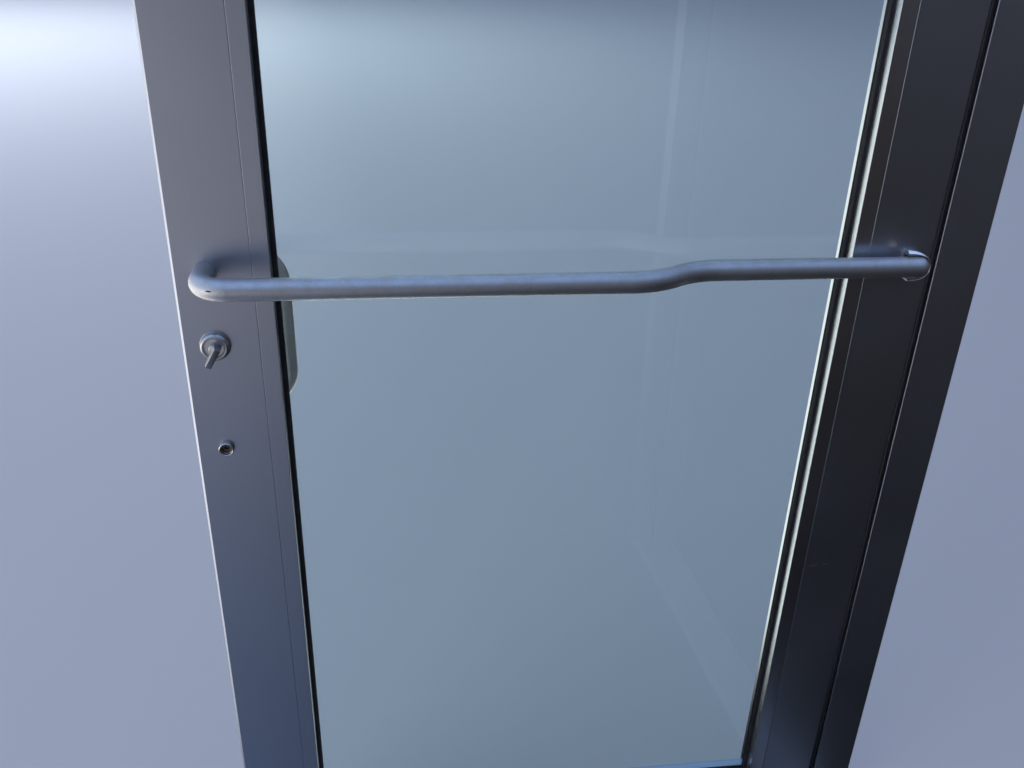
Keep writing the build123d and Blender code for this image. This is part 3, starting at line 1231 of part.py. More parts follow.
with BuildPart() as top_pivot:
    with BuildSketch(Plane.XY.offset(BRACKET_LOW)):
        span(
            PIVOT_X - BRACKET_LEFT,
            PIVOT_X + BRACKET_RIGHT,
            OUTER_SIDE,
            OUTER_SIDE + BRACKET_PLATE,
        )
    extrude(amount=FRAME_TOP - BRACKET_INSET - BRACKET_LOW)
    with BuildSketch(Plane.XY.offset(BRACKET_LOW)):
        span(PIVOT_X - PIVOT_BOSS / 2, PIVOT_X + PIVOT_BOSS / 2, OUTER_SIDE, PIVOT_Y)
        discs(PIVOT_BOSS, PIVOT_PLACE)
    extrude(amount=BRACKET_LUG)
    with BuildSketch(Plane.XY.offset(ARM_TOP + PIVOT_GAP)):
        discs(PIVOT_BOSS, PIVOT_PLACE)
    extrude(amount=BRACKET_LOW - ARM_TOP - PIVOT_GAP)
    with BuildSketch(Plane.XY.offset(ARM_TOP + PIVOT_GAP)):
        discs(PIVOT_PIN, PIVOT_PLACE)
    extrude(amount=-PIVOT_GAP - ARM_LUG - PIN_PAST_LUG)
    with BuildSketch(Plane.XZ.offset(-OUTER_SIDE - BRACKET_PLATE)):
        discs(
            PIVOT_SCREW,
            *((PIVOT_X + shift, BRACKET_SCREW_HEIGHT) for shift in BRACKET_SCREW_SHIFTS),
        )
    extrude(amount=BRACKET_PLATE, mode=Mode.SUBTRACT)
top_pivot.part.label = "top_pivot"
export_step(top_pivot.part, "parts/top_pivot.step")

for arm_name, lug_bottom, plate_bottom in (
    ("bottom_pivot_arm", BASE_PLATE + PIVOT_GAP, LEAF_BOTTOM),
    ("top_pivot_arm", ARM_TOP - ARM_LUG, ARM_TOP - ARM_PLATE_HEIGHT),
):
    with BuildPart() as pivot_arm:
        with BuildSketch(leaf_plan(plate_bottom)):
            span(
                LEAF_WIDTH - ARM_EDGE_INSET - ARM_PLATE_LENGTH,
                LEAF_WIDTH - ARM_EDGE_INSET,
                LEAF_THICKNESS,
                LEAF_THICKNESS + ARM_PLATE,
            )
        extrude(amount=ARM_PLATE_HEIGHT)
        with BuildSketch(leaf_plan(lug_bottom)):
            discs(PIVOT_BOSS, (LEAF_WIDTH - PIVOT_OFFSET, LEAF_THICKNESS + PIVOT_OFFSET))
            span(
                LEAF_WIDTH - PIVOT_OFFSET - PIVOT_BOSS / 2,
                LEAF_WIDTH - PIVOT_OFFSET + PIVOT_BOSS / 2,
                LEAF_THICKNESS,
                LEAF_THICKNESS + PIVOT_OFFSET,
            )
        extrude(amount=ARM_LUG)
        with BuildSketch(leaf_plan(lug_bottom)):
            discs(
                PIVOT_PIN + 2 * RUNNING_CLEARANCE,
                (LEAF_WIDTH - PIVOT_OFFSET, LEAF_THICKNESS + PIVOT_OFFSET),
            )
        extrude(amount=ARM_LUG, mode=Mode.SUBTRACT)
        with BuildSketch(leaf_front(LEAF_THICKNESS + ARM_PLATE)):
            discs(PIVOT_SCREW, *ARM_SCREW_PLACES)
        extrude(amount=ARM_PLATE, mode=Mode.SUBTRACT)
    pivot_arm.part.label = arm_name
    export_step(pivot_arm.part, f"parts/{arm_name}.step")

# Pan-head screws through the pivots' plates
with BuildPart() as pivot_screws:
    pan_screws(
        Plane(origin=(0, OUTER_SIDE + BASE_LEG, 0), x_dir=(-1, 0, 0), z_dir=(0, 1, 0)),
        [(-LEG_MIDDLE, height) for height in BASE_SCREW_HEIGHTS],
        BASE_LEG + FRAME_WALL,
    )
    pan_screws(
        Plane(origin=(0, OUTER_SIDE + BRACKET_PLATE, 0), x_dir=(-1, 0, 0), z_dir=(0, 1, 0)),
        [(-PIVOT_X - shift, BRACKET_SCREW_HEIGHT) for shift in BRACKET_SCREW_SHIFTS],
        BRACKET_PLATE + FRAME_WALL,
    )
pivot_screws.part.label = "pivot_screws"
export_step(pivot_screws.part, "parts/pivot_screws.step")

with BuildPart() as arm_screws:
    pan_screws(
        leaf_back(LEAF_THICKNESS + ARM_PLATE),
        [(-along, height) for along, height in ARM_SCREW_PLACES],
        ARM_PLATE + TUBE_WALL,
    )
arm_screws.part.label = "arm_screws"
export_step(arm_screws.part, "parts/arm_screws.step")
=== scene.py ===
import math

import bmesh
import bpy
from bpy.props import FloatProperty, FloatVectorProperty, PointerProperty
from mathutils import Matrix, Vector


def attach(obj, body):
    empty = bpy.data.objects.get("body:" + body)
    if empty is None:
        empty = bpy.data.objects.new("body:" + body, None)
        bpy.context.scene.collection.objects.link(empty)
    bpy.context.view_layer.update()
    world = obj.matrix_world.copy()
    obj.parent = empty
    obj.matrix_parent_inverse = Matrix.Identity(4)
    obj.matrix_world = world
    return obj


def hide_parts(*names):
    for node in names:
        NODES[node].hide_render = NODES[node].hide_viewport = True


bl_info = {
    "name": "Storefront Door",
    "version": (1, 0, 0),
    "blender": (4, 5, 0),
    "location": "3D View > Sidebar > Door",
    "description": "Finishes of a framed aluminium glass door, and the studio it stands in",
    "category": "Object",
}

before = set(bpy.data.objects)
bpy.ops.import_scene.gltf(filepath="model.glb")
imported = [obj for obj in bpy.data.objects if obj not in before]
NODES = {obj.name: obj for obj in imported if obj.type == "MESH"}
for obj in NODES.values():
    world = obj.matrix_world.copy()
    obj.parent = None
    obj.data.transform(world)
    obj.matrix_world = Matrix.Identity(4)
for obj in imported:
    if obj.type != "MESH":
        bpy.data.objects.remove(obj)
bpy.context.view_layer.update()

# Sizes in metres that the finishes and the camera share with the solids
LEAF_WIDTH = 0.908
LEAF_THICKNESS = 0.04445
PIVOT = Vector((0.43495, 0.0762, 0))
PIVOT_OFFSET = 0.01905
BAR_HEIGHT = 1.0668
OPEN_ANGLE = math.radians(85)
CYLINDER_ALONG = 0.0381
CYLINDER_HEIGHT = 0.9771
FERRULE_ALONG = 0.036
FERRULE_HEIGHT = 0.8382
SOCKET_ALONG = 0.8814

# The open leaf's own directions: along its width from the lock edge, outward through its thickness
# and up
ALONG = Vector((math.cos(OPEN_ANGLE), -math.sin(OPEN_ANGLE), 0))
OUTWARD = Vector((math.sin(OPEN_ANGLE), math.cos(OPEN_ANGLE), 0))
UP = Vector((0, 0, 1))
LEAF_CORNER = (
    PIVOT - ALONG * (LEAF_WIDTH - PIVOT_OFFSET) - OUTWARD * (LEAF_THICKNESS + PIVOT_OFFSET)
)

# Pieces by the way their extrusions run
UPRIGHT_FRAME = ("hinge_jamb", "lock_jamb", "hinge_door_stop", "lock_door_stop")
LEVEL_FRAME = ("header", "header_door_stop")
UPRIGHT_LEAF = (
    "lock_stile",
    "hinge_stile",
    "inner_lock_glazing_stop",
    "outer_lock_glazing_stop",
)
HINGE_SIDE_STOPS = ("inner_hinge_glazing_stop", "outer_hinge_glazing_stop")
LEVEL_LEAF = (
    "top_rail",
    "bottom_rail",
    "inner_top_glazing_stop",
    "inner_bottom_glazing_stop",
    "outer_top_glazing_stop",
    "outer_bottom_glazing_stop",
)
RUBBER = (
    "hinge_bulb_seal",
    "lock_bulb_seal",
    "header_bulb_seal",
    "inner_gasket",
    "outer_gasket",
    "door_sweep",
    "setting_blocks",
)
SATIN_PLATES = ("strike_plate", "lock_faceplate")
TURNED_FITTINGS = ("thumbturn_cylinder", "cylinder_ring")
PLATED_STEEL = (
    "strike_screws",
    "pivot_screws",
    "bar_screw",
    "faceplate_screws",
    "arm_screws",
    "tie_rods",
    "deadbolt",
    "lock_case",
    "bottom_pivot",
    "top_pivot",
    "bottom_pivot_arm",
    "top_pivot_arm",
)

# Steps of a turned shape, and the angle past which an edge stays sharp
TURNED_STEPS = 96
SHARP_ANGLE = math.radians(40)

# Turned collar of the thumbturn: radius and height over the stile round its section, in millimetres
COLLAR_SECTION = (
    (11.05, 0.0),
    (18.0, 0.0),
    (18.0, 1.3),
    (17.7, 1.6),
    (16.9, 1.7),
    (16.9, 2.3),
    (17.5, 2.6),
    (17.5, 3.8),
    (17.2, 5.2),
    (16.6, 6.6),
    (15.7, 7.9),
    (14.7, 8.7),
    (13.8, 9.0),
    (13.2, 8.8),
    (13.0, 8.4),
    (12.2, 8.3),
    (11.3, 8.1),
    (11.05, 7.8),
)

# Thumbturn's hub, in metres: radius at its foot and at its front, length, and how proud its middle
# stands
HUB_RADII = (0.0065, 0.0058)
HUB_LENGTH = 0.005
HUB_MIDDLE = 0.0105
HUB_ROUNDING = 0.0008
HUB_STEPS = 48

# Its blade seen along its length: across and proud, in millimetres, at its tail and at its tip
BLADE_TAIL = ((-3.2, 9.3), (6.2, 9.3), (7.0, 22.4), (1.0, 23.8), (0.0, 24.0), (-2.4, 15.0))
BLADE_TIP = ((-1.6, 11.0), (6.2, 11.0), (6.8, 21.6), (1.0, 22.8), (0.2, 22.9), (-1.2, 16.5))
# Where the blade's tail and tip are along it, in metres
BLADE_RUN = (0.0062, -0.0205)
BLADE_ROUNDING = 0.0009
BLADE_LEAN = math.radians(30)

# Lip of the bar's socket, in millimetres and degrees. Its inner edge runs round half of a rounded
# oval, from its upper end: how far back the oval's centre is, its reach either way, and how full
# its upper and its lower half are. The section is distance out and height over the stile.
LIP_BACK = 16.0
LIP_REACH = (29.3, 15.5)
LIP_FULLNESS = (2.4, 3.0)
LIP_START = 90
LIP_SWEEP = 176
LIP_STEPS = 48
LIP_SECTION = (
    (0.0, 10.0),
    (0.0, 20.8),
    (0.15, 21.2),
    (1.5, 22.9),
    (1.8, 23.1),
    (2.1, 23.1),
    (2.4, 22.8),
    (2.5, 22.3),
    (2.5, 10.0),
)
# The lip's outer edge flares towards its upper end: how far out and how far down, past which turn,
# from which distance out and over what width, and above which height
LIP_FLARE = (2.7, 4.6)
LIP_FLARE_TURN = 30
LIP_FLARE_START = 1.8
LIP_FLARE_WIDTH = 0.7
LIP_FLARE_HEIGHT = 20

# Rolled rim of the small ferrule: radius and height over the stile, in millimetres
RIM_SECTION = (
    (7.0, -1.0),
    (9.2, 0.0),
    (9.2, 4.9),
    (9.0, 5.6),
    (8.6, 6.1),
    (8.1, 6.3),
    (7.6, 6.1),
    (7.2, 5.6),
    (7.0, 4.8),
)

# The floor, and the glowing card just over it that paints the ground's reflections, in metres
FLOOR_STEPS = 64
GROUND_CARD = ((-30.0, -12.0), (12.0, -12.0), (12.0, 30.0), (-30.0, 30.0))
CARD_LIFT = 0.004

# Camera: yaw, pitch and roll in degrees from straight at the leaf, its place on the leaf's axes and
# over the bar, and its depth, in metres, and its lens and sensor in millimetres
CAMERA_TURN = (7.73, 26.69, -1.66)
CAMERA_PLACE = (0.2500, -1.0313, 0.3704)
CAMERA_DEPTH = 200.0
LENS = 32.83
SENSOR = 36.0

# Settings that many nodes share, and the numbers of a colour mix's sockets
SMOOTH = {"interpolation_type": "SMOOTHSTEP"}
SIZED = {"vector_type": "TEXTURE"}
BLEND = {"data_type": "RGBA"}
TINT = {"data_type": "RGBA", "blend_type": "MULTIPLY"}
SHARE, FIRST, SECOND, MIXED = 0, 6, 7, 2
COLOUR = {"subtype": "COLOR", "size": 4, "min": 0, "max": 1}

# Length of a die line before it fades, in metres
LINE_LENGTH = 0.9

# Small marks in the finish: place in metres, turn about Z, and half sizes along, through and up
STILE_SCRATCHES = (
    ((0.3676, 0.1200, 0.6025), OPEN_ANGLE, (0.009, 0.012, 0.0007)),
    ((0.3690, 0.1020, 0.6040), OPEN_ANGLE, (0.007, 0.012, 0.0006)),
)
BAR_NICKS = (((0.2329, 0.8996, 1.0691), OPEN_ANGLE, (0.0042, 0.02, 0.0012)),)


def leaf_point(along, depth, height):
    """A point on the leaf: from its lock edge, from its inner face and from the floor."""
    return LEAF_CORNER + ALONG * along + OUTWARD * depth + UP * height


def on_leaf(along, height):
    """Place a piece on the leaf's inner face: X along the leaf, Y up and Z out of the face."""
    turned = Matrix((ALONG, UP, -OUTWARD)).transposed().to_4x4()
    return Matrix.Translation(leaf_point(along, 0, height)) @ turned


def add_piece(context, name, bm, place, material, body):
    """Make a finished piece of a mesh drawn about its own centre, and fix it to its body."""
    bmesh.ops.transform(bm, matrix=place, verts=bm.verts[:])
    bmesh.ops.recalc_face_normals(bm, faces=bm.faces[:])
    mesh = bpy.data.meshes.new(name)
    bm.to_mesh(mesh)
    bm.free()
    mesh.shade_smooth()
    mesh.set_sharp_from_angle(angle=SHARP_ANGLE)
    mesh.materials.append(material)
    piece = bpy.data.objects.new(name, mesh)
    context.scene.collection.objects.link(piece)
    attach(piece, body)
    return piece


def ring_edges(bm, ring):
    """Join a ring of vertices by edges, from the last one round to itself."""
    return [bm.edges.new((ring[i - 1], vert)) for i, vert in enumerate(ring)]


def turned_shape(section):
    """A closed turned mesh about Z: its section is a ring of radii and heights in millimetres."""
    bm = bmesh.new()
    ring = [bm.verts.new((radius / 1000, 0, height / 1000)) for radius, height in section]
    bmesh.ops.spin(
        bm,
        geom=ring + ring_edges(bm, ring),
        axis=(0, 0, 1),
        cent=(0, 0, 0),
        steps=TURNED_STEPS,
        angle=math.tau,
        use_merge=True,
    )
    return bm


def linear(code):
    """Linear colour of an sRGB hex value."""
    shares = [int(code[i:i + 2], 16) / 255 for i in (0, 2, 4)]
    return [s / 12.92 if s <= 0.04045 else ((s + 0.055) / 1.055) ** 2.4 for s in shares] + [1.0]


def light(code, strength=1.0):
    """Linear colour of an sRGB hex value times a strength, as light may be brighter than white."""
    return [share * strength for share in linear(code)[:3]] + [1.0]


def add_node(tree, kind, settings=None, inputs=None):
    """Add a node: an input that is given a socket is linked, and any other is set."""
    node = tree.nodes.new(kind)
    for name, value in (settings or {}).items():
        setattr(node, name, value)
    for name, value in (inputs or {}).items():
        if isinstance(value, bpy.types.NodeSocket):
            tree.links.new(value, node.inputs[name])
        else:
            node.inputs[name].default_value = value
    return node


def new_material(name):
    """A material, its node tree and its shader."""
    material = bpy.data.materials.new(name)
    material.use_nodes = True
    tree = material.node_tree
    tree.nodes.clear()
    shader = add_node(tree, "ShaderNodeBsdfPrincipled")
    add_node(tree, "ShaderNodeOutputMaterial", inputs={"Surface": shader.outputs["BSDF"]})
    return material, tree, shader


def mirrored(tree):
    """1 for what a mirror-like surface reflects, 0 for what is seen straight or through glass."""
    path = add_node(tree, "ShaderNodeLightPath")
    reflected = add_node(
        tree, "ShaderNodeMath", {"operation": "GREATER_THAN"}, {0: path.outputs["Glossy Depth"]}
    )
    return reflected.outputs["Value"]


def feed(tree, shader, outputs):
    """Link outputs to the shader's inputs."""
    for name, output in outputs.items():
        tree.links.new(output, shader.inputs[name])


def dress(names, material):
    """Give CAD nodes a material."""
    for name in names:
        node = NODES[name]
        node.data.materials.clear()
        node.data.materials.append(material)


def marks(tree, place, spots):
    """How much a point of the surface lies in one of the small marks, from 0 to 1."""
    share = None
    for centre, turn, half in spots:
        near = add_node(
            tree,
            "ShaderNodeMapping",
            SIZED,
            {
                "Vector": place.outputs["Object"],
                "Location": centre,
                "Rotation": (0, 0, -turn),
                "Scale": half,
            },
        )
        away = add_node(
            tree, "ShaderNodeVectorMath", {"operation": "LENGTH"}, {0: near.outputs["Vector"]}
        )
        spot = add_node(
            tree,
            "ShaderNodeMapRange",
            SMOOTH,
            {"Value": away.outputs["Value"], "From Min": 1.0, "From Max": 0.5},
        )
        if share is None:
            share = spot.outputs["Result"]
        else:
            both = add_node(
                tree,
                "ShaderNodeMath",
                {"operation": "MAXIMUM"},
                {0: share, 1: spot.outputs["Result"]},
            )
            share = both.outputs["Value"]
    return share


def extruded_metal(name, colour, roughness, run, turn, pitch):
    """Satin anodised extrusion: fine die lines along its run, over an even etched grain.

    The colour is linear, the run is LEVEL or UPRIGHT, and a level run is turned about Z. The lines'
    pitch is in metres.
    """
    material, tree, shader = new_material(name)
    shader.inputs["Metallic"].default_value = 1.0
    place = add_node(tree, "ShaderNodeTexCoord")
    size = (LINE_LENGTH, pitch, pitch) if run == "LEVEL" else (pitch, pitch, LINE_LENGTH)
    lines = add_node(
        tree,
        "ShaderNodeMapping",
        SIZED,
        {"Vector": place.outputs["Object"], "Rotation": (0, 0, turn), "Scale": size},
    )
    streaks = add_node(
        tree,
        "ShaderNodeTexNoise",
        inputs={"Vector": lines.outputs["Vector"], "Scale": 1.0, "Detail": 3.0, "Roughness": 0.6},
    )
    # Etched grain 1.1 mm wide, which is coarser than the real one so that it shows
    grain = add_node(
        tree,
        "ShaderNodeTexNoise",
        inputs={"Vector": place.outputs["Object"], "Scale": 900.0, "Detail": 2.0},
    )
    # Uneven sheen in clouds about 200 mm wide
    clouds = add_node(
        tree,
        "ShaderNodeTexNoise",
        inputs={"Vector": place.outputs["Object"], "Scale": 5.0, "Detail": 4.0, "Roughness": 0.55},
    )
    tone = add_node(
        tree,
        "ShaderNodeMapRange",
        inputs={
            "Value": streaks.outputs["Fac"],
            "From Min": 0.3,
            "From Max": 0.7,
            "To Min": 0.985,
            "To Max": 1.01,
        },
    )
    tinted = add_node(
        tree,
        "ShaderNodeMix",
        TINT,
        {SHARE: 1.0, FIRST: colour, SECOND: tone.outputs["Result"]},
    )
    scratched = add_node(
        tree,
        "ShaderNodeMix",
        BLEND,
        {
            SHARE: marks(tree, place, STILE_SCRATCHES),
            FIRST: tinted.outputs[MIXED],
            SECOND: linear("FFFFFF"),
        },
    )
    dull = add_node(
        tree,
        "ShaderNodeMapRange",
        inputs={
            "Value": clouds.outputs["Fac"],
            "From Min": 0.3,
            "From Max": 0.7,
            "To Min": roughness - 0.03,
            "To Max": roughness + 0.03,
        },
    )
    etched = add_node(
        tree,
        "ShaderNodeBump",
        inputs={"Strength": 0.07, "Distance": 0.0004, "Height": grain.outputs["Fac"]},
    )
    relief = add_node(
        tree,
        "ShaderNodeBump",
        inputs={
            "Strength": 0.04,
            "Distance": 0.0003,
            "Height": streaks.outputs["Fac"],
            "Normal": etched.outputs["Normal"],
        },
    )
    feed(
        tree,
        shader,
        {
            "Base Color": scratched.outputs[MIXED],
            "Roughness": dull.outputs["Result"],
            "Normal": relief.outputs["Normal"],
        },
    )
    return material


def plain_metal(name, colour, roughness, grain, relief, stain="8A8680", stained=0.15):
    """Metal with a fine grain, of the given size in metres each way, stained in patches."""
    material, tree, shader = new_material(name)
    shader.inputs["Metallic"].default_value = 1.0
    place = add_node(tree, "ShaderNodeTexCoord")
    sized = add_node(
        tree,
        "ShaderNodeMapping",
        SIZED,
        {"Vector": place.outputs["Object"], "Scale": grain},
    )
    fine = add_node(
        tree,
        "ShaderNodeTexNoise",
        inputs={"Vector": sized.outputs["Vector"], "Scale": 1.0, "Detail": 3.0},
    )
    # Patches about 20 mm wide
    patches = add_node(
        tree,
        "ShaderNodeTexNoise",
        inputs={"Vector": place.outputs["Object"], "Scale": 50.0, "Detail": 5.0, "Roughness": 0.6},
    )
    share = add_node(
        tree,
        "ShaderNodeMapRange",
        SMOOTH,
        {"Value": patches.outputs["Fac"], "From Min": 0.4, "From Max": 0.7, "To Max": stained},
    )
    stained_colour = add_node(
        tree,
        "ShaderNodeMix",
        BLEND,
        {SHARE: share.outputs["Result"], FIRST: linear(colour), SECOND: linear(stain)},
    )
    dull = add_node(
        tree,
        "ShaderNodeMapRange",
        inputs={
            "Value": fine.outputs["Fac"],
            "To Min": roughness - 0.06,
            "To Max": roughness + 0.06,
        },
    )
    duller = add_node(
        tree,
        "ShaderNodeMath",
        {"operation": "MULTIPLY_ADD"},
        {0: share.outputs["Result"], 1: 0.4, 2: dull.outputs["Result"]},
    )
    bump = add_node(
        tree,
        "ShaderNodeBump",
        inputs={"Strength": relief, "Distance": 0.0002, "Height": fine.outputs["Fac"]},
    )
    feed(
        tree,
        shader,
        {
            "Base Color": stained_colour.outputs[MIXED],
            "Roughness": duller.outputs["Value"],
            "Normal": bump.outputs["Normal"],
        },
    )
    return material


def turned_metal(name, colour, roughness, along, height):
    """Lathe-turned and satin plated: rings round the axis that shimmer, and small rubbed spots."""
    material, tree, shader = new_material(name)
    shader.inputs["Metallic"].default_value = 1.0
    place = add_node(tree, "ShaderNodeTexCoord")
    centred = add_node(
        tree,
        "ShaderNodeMapping",
        SIZED,
        {
            "Vector": place.outputs["Object"],
            "Location": leaf_point(along, 0, height),
            "Rotation": (0, 0, -OPEN_ANGLE),
        },
    )
    flat = add_node(
        tree,
        "ShaderNodeVectorMath",
        {"operation": "MULTIPLY"},
        {0: centred.outputs["Vector"], 1: (1, 0, 1)},
    )
    radius = add_node(
        tree, "ShaderNodeVectorMath", {"operation": "LENGTH"}, {0: flat.outputs["Vector"]}
    )
    # Turning marks about 0.3 mm apart
    rings = add_node(
        tree,
        "ShaderNodeTexNoise",
        {"noise_dimensions": "1D"},
        {"W": radius.outputs["Value"], "Scale": 3300.0, "Detail": 2.0},
    )
    # Rubbed spots about 6 mm wide
    rubbed = add_node(
        tree,
        "ShaderNodeTexNoise",
        inputs={"Vector": place.outputs["Object"], "Scale": 160.0, "Detail": 4.0, "Roughness": 0.6},
    )
    tone = add_node(
        tree,
        "ShaderNodeMapRange",
        inputs={
            "Value": rubbed.outputs["Fac"],
            "From Min": 0.3,
            "From Max": 0.7,
            "To Min": 0.97,
            "To Max": 1.02,
        },
    )
    tinted = add_node(
        tree,
        "ShaderNodeMix",
        TINT,
        {SHARE: 1.0, FIRST: linear(colour), SECOND: tone.outputs["Result"]},
    )
    dull = add_node(
        tree,
        "ShaderNodeMapRange",
        inputs={
            "Value": rubbed.outputs["Fac"],
            "From Min": 0.3,
            "From Max": 0.7,
            "To Min": roughness + 0.02,
            "To Max": roughness - 0.02,
        },
    )
    bump = add_node(
        tree,
        "ShaderNodeBump",
        inputs={"Strength": 0.05, "Distance": 0.0001, "Height": rings.outputs["Fac"]},
    )
    feed(
        tree,
        shader,
        {
            "Base Color": tinted.outputs[MIXED],
            "Roughness": dull.outputs["Result"],
            "Normal": bump.outputs["Normal"],
        },
    )
    return material


def handled_metal(name, colour, dust, roughness):
    """Satin anodised round bar, dulled by hands: haze over a fine etched grain, and a few nicks.

    The colour and the dust are linear.
    """
    material, tree, shader = new_material(name)
    shader.inputs["Metallic"].default_value = 1.0
    place = add_node(tree, "ShaderNodeTexCoord")
    # Haze from hands in patches about 14 mm wide
    haze = add_node(
        tree,
        "ShaderNodeTexNoise",
        inputs={"Vector": place.outputs["Object"], "Scale": 70.0, "Detail": 6.0, "Roughness": 0.7},
    )
    # Etched specks 2.4 mm wide, coarser than the real ones so that they show
    specks = add_node(
        tree,
        "ShaderNodeTexNoise",
        inputs={"Vector": place.outputs["Object"], "Scale": 420.0, "Detail": 3.0, "Roughness": 0.6},
    )
    hazed = add_node(
        tree,
        "ShaderNodeMapRange",
        SMOOTH,
        {"Value": haze.outputs["Fac"], "From Min": 0.35, "From Max": 0.75, "To Max": 0.55},
    )
    mottled = add_node(
        tree,
        "ShaderNodeMix",
        BLEND,
        {SHARE: hazed.outputs["Result"], FIRST: colour, SECOND: dust},
    )
    tone = add_node(
        tree,
        "ShaderNodeMapRange",
        inputs={
            "Value": specks.outputs["Fac"],
            "From Min": 0.3,
            "From Max": 0.7,
            "To Min": 0.95,
            "To Max": 1.03,
        },
    )
    speckled = add_node(
        tree,
        "ShaderNodeMix",
        TINT,
        {SHARE: 1.0, FIRST: mottled.outputs[MIXED], SECOND: tone.outputs["Result"]},
    )
    nicked = add_node(
        tree,
        "ShaderNodeMix",
        BLEND,
        {
            SHARE: marks(tree, place, BAR_NICKS),
            FIRST: speckled.outputs[MIXED],
            SECOND: linear("302F2D"),
        },
    )
    dull = add_node(
        tree,
        "ShaderNodeMapRange",
        inputs={
            "Value": hazed.outputs["Result"],
            "To Min": roughness - 0.04,
            "To Max": roughness + 0.06,
        },
    )
    bump = add_node(
        tree,
        "ShaderNodeBump",
        inputs={"Strength": 0.12, "Distance": 0.0003, "Height": specks.outputs["Fac"]},
    )
    feed(
        tree,
        shader,
        {
            "Base Color": nicked.outputs[MIXED],
            "Roughness": dull.outputs["Result"],
            "Normal": bump.outputs["Normal"],
        },
    )
    return material


class DoorFinishes(bpy.types.PropertyGroup):
    """Colours and pattern sizes of the door's finishes."""

    anodised_colour: FloatVectorProperty(
        name="Anodised colour",
        description="Clear satin anodising of the frame and the leaf",
        default=linear("AFB4BF"),
        **COLOUR,
    )
    bar_colour: FloatVectorProperty(
        name="Bar colour",
        description="Clear anodising of the push bar and the pull handle",
        default=linear("C9CBD0"),
        **COLOUR,
    )
    rubber_colour: FloatVectorProperty(
        name="Rubber colour",
        description="Glazing gaskets, bulb seals and sweep",
        default=linear("15171C"),
        **COLOUR,
    )
    glass_tint: FloatVectorProperty(
        name="Glass tint",
        description="Faint green of clear tempered glass",
        default=linear("E3F2EF"),
        **COLOUR,
    )
    die_line_pitch: FloatProperty(
        name="Die line pitch",
        description="Spacing of the extrusions' fine lines",
        default=0.0016,
        min=0.0002,
        unit="LENGTH",
    )


class StudioSettings(bpy.types.PropertyGroup):
    """Floor and light of the studio."""

    floor_colour: FloatVectorProperty(
        name="Floor colour",
        description="Plain pale floor",
        default=linear("C8CFDB"),
        **COLOUR,
    )
    floor_radius: FloatProperty(
        name="Floor radius",
        description="How far the floor reaches from the door",
        default=40.0,
        min=2.0,
        unit="LENGTH",
    )
    key_power: FloatProperty(
        name="Key light power",
        description="Soft light from outside",
        default=22.0,
        min=0.0,
        unit="POWER",
    )
    far_power: FloatProperty(
        name="Far light power",
        description="Soft light on the floor further out",
        default=900.0,
        min=0.0,
        unit="POWER",
    )
    ambient_colour: FloatVectorProperty(
        name="Ambient colour",
        description="Even bluish light on dull surfaces, as in open shade",
        default=linear("8B94AD"),
        **COLOUR,
    )
    backdrop_colour: FloatVectorProperty(
        name="Backdrop colour",
        description="Plain pale backdrop beyond the floor",
        default=linear("C3CAD6"),
        **COLOUR,
    )


class DOOR_OT_anodised_members(bpy.types.Operator):
    """Finish the frame tubes, door stops, stiles, rails and glazing stops"""

    bl_idname = "door.anodised_members"
    bl_label = "Anodised members"

    def execute(self, context):
        finishes = context.scene.door_finishes
        colour = list(finishes.anodised_colour)
        pitch = finishes.die_line_pitch
        # Clear anodising: a cool grey sheen that stretches reflections up and down, with hairline
        # die lines
        upright = extruded_metal("satin_anodised_upright", colour, 0.40, "UPRIGHT", 0.0, pitch)
        level = extruded_metal("satin_anodised_level", colour, 0.40, "LEVEL", 0.0, pitch)
        rail = extruded_metal("satin_anodised_rail", colour, 0.40, "LEVEL", -OPEN_ANGLE, pitch)
        # The hinge-side stops are a smoother, lighter copy of the same anodising. The lighter
        # colour is a painted highlight, so that their edges draw sharp bright lines beside the
        # black gaskets
        stop = extruded_metal("smooth_anodised_stop_painted_highlight", linear("BDBEC5"), 0.31, "UPRIGHT", 0.0, pitch)
        dress(UPRIGHT_FRAME + UPRIGHT_LEAF, upright)
        dress(HINGE_SIDE_STOPS, stop)
        dress(LEVEL_FRAME, level)
        dress(LEVEL_LEAF, rail)
        return {"FINISHED"}


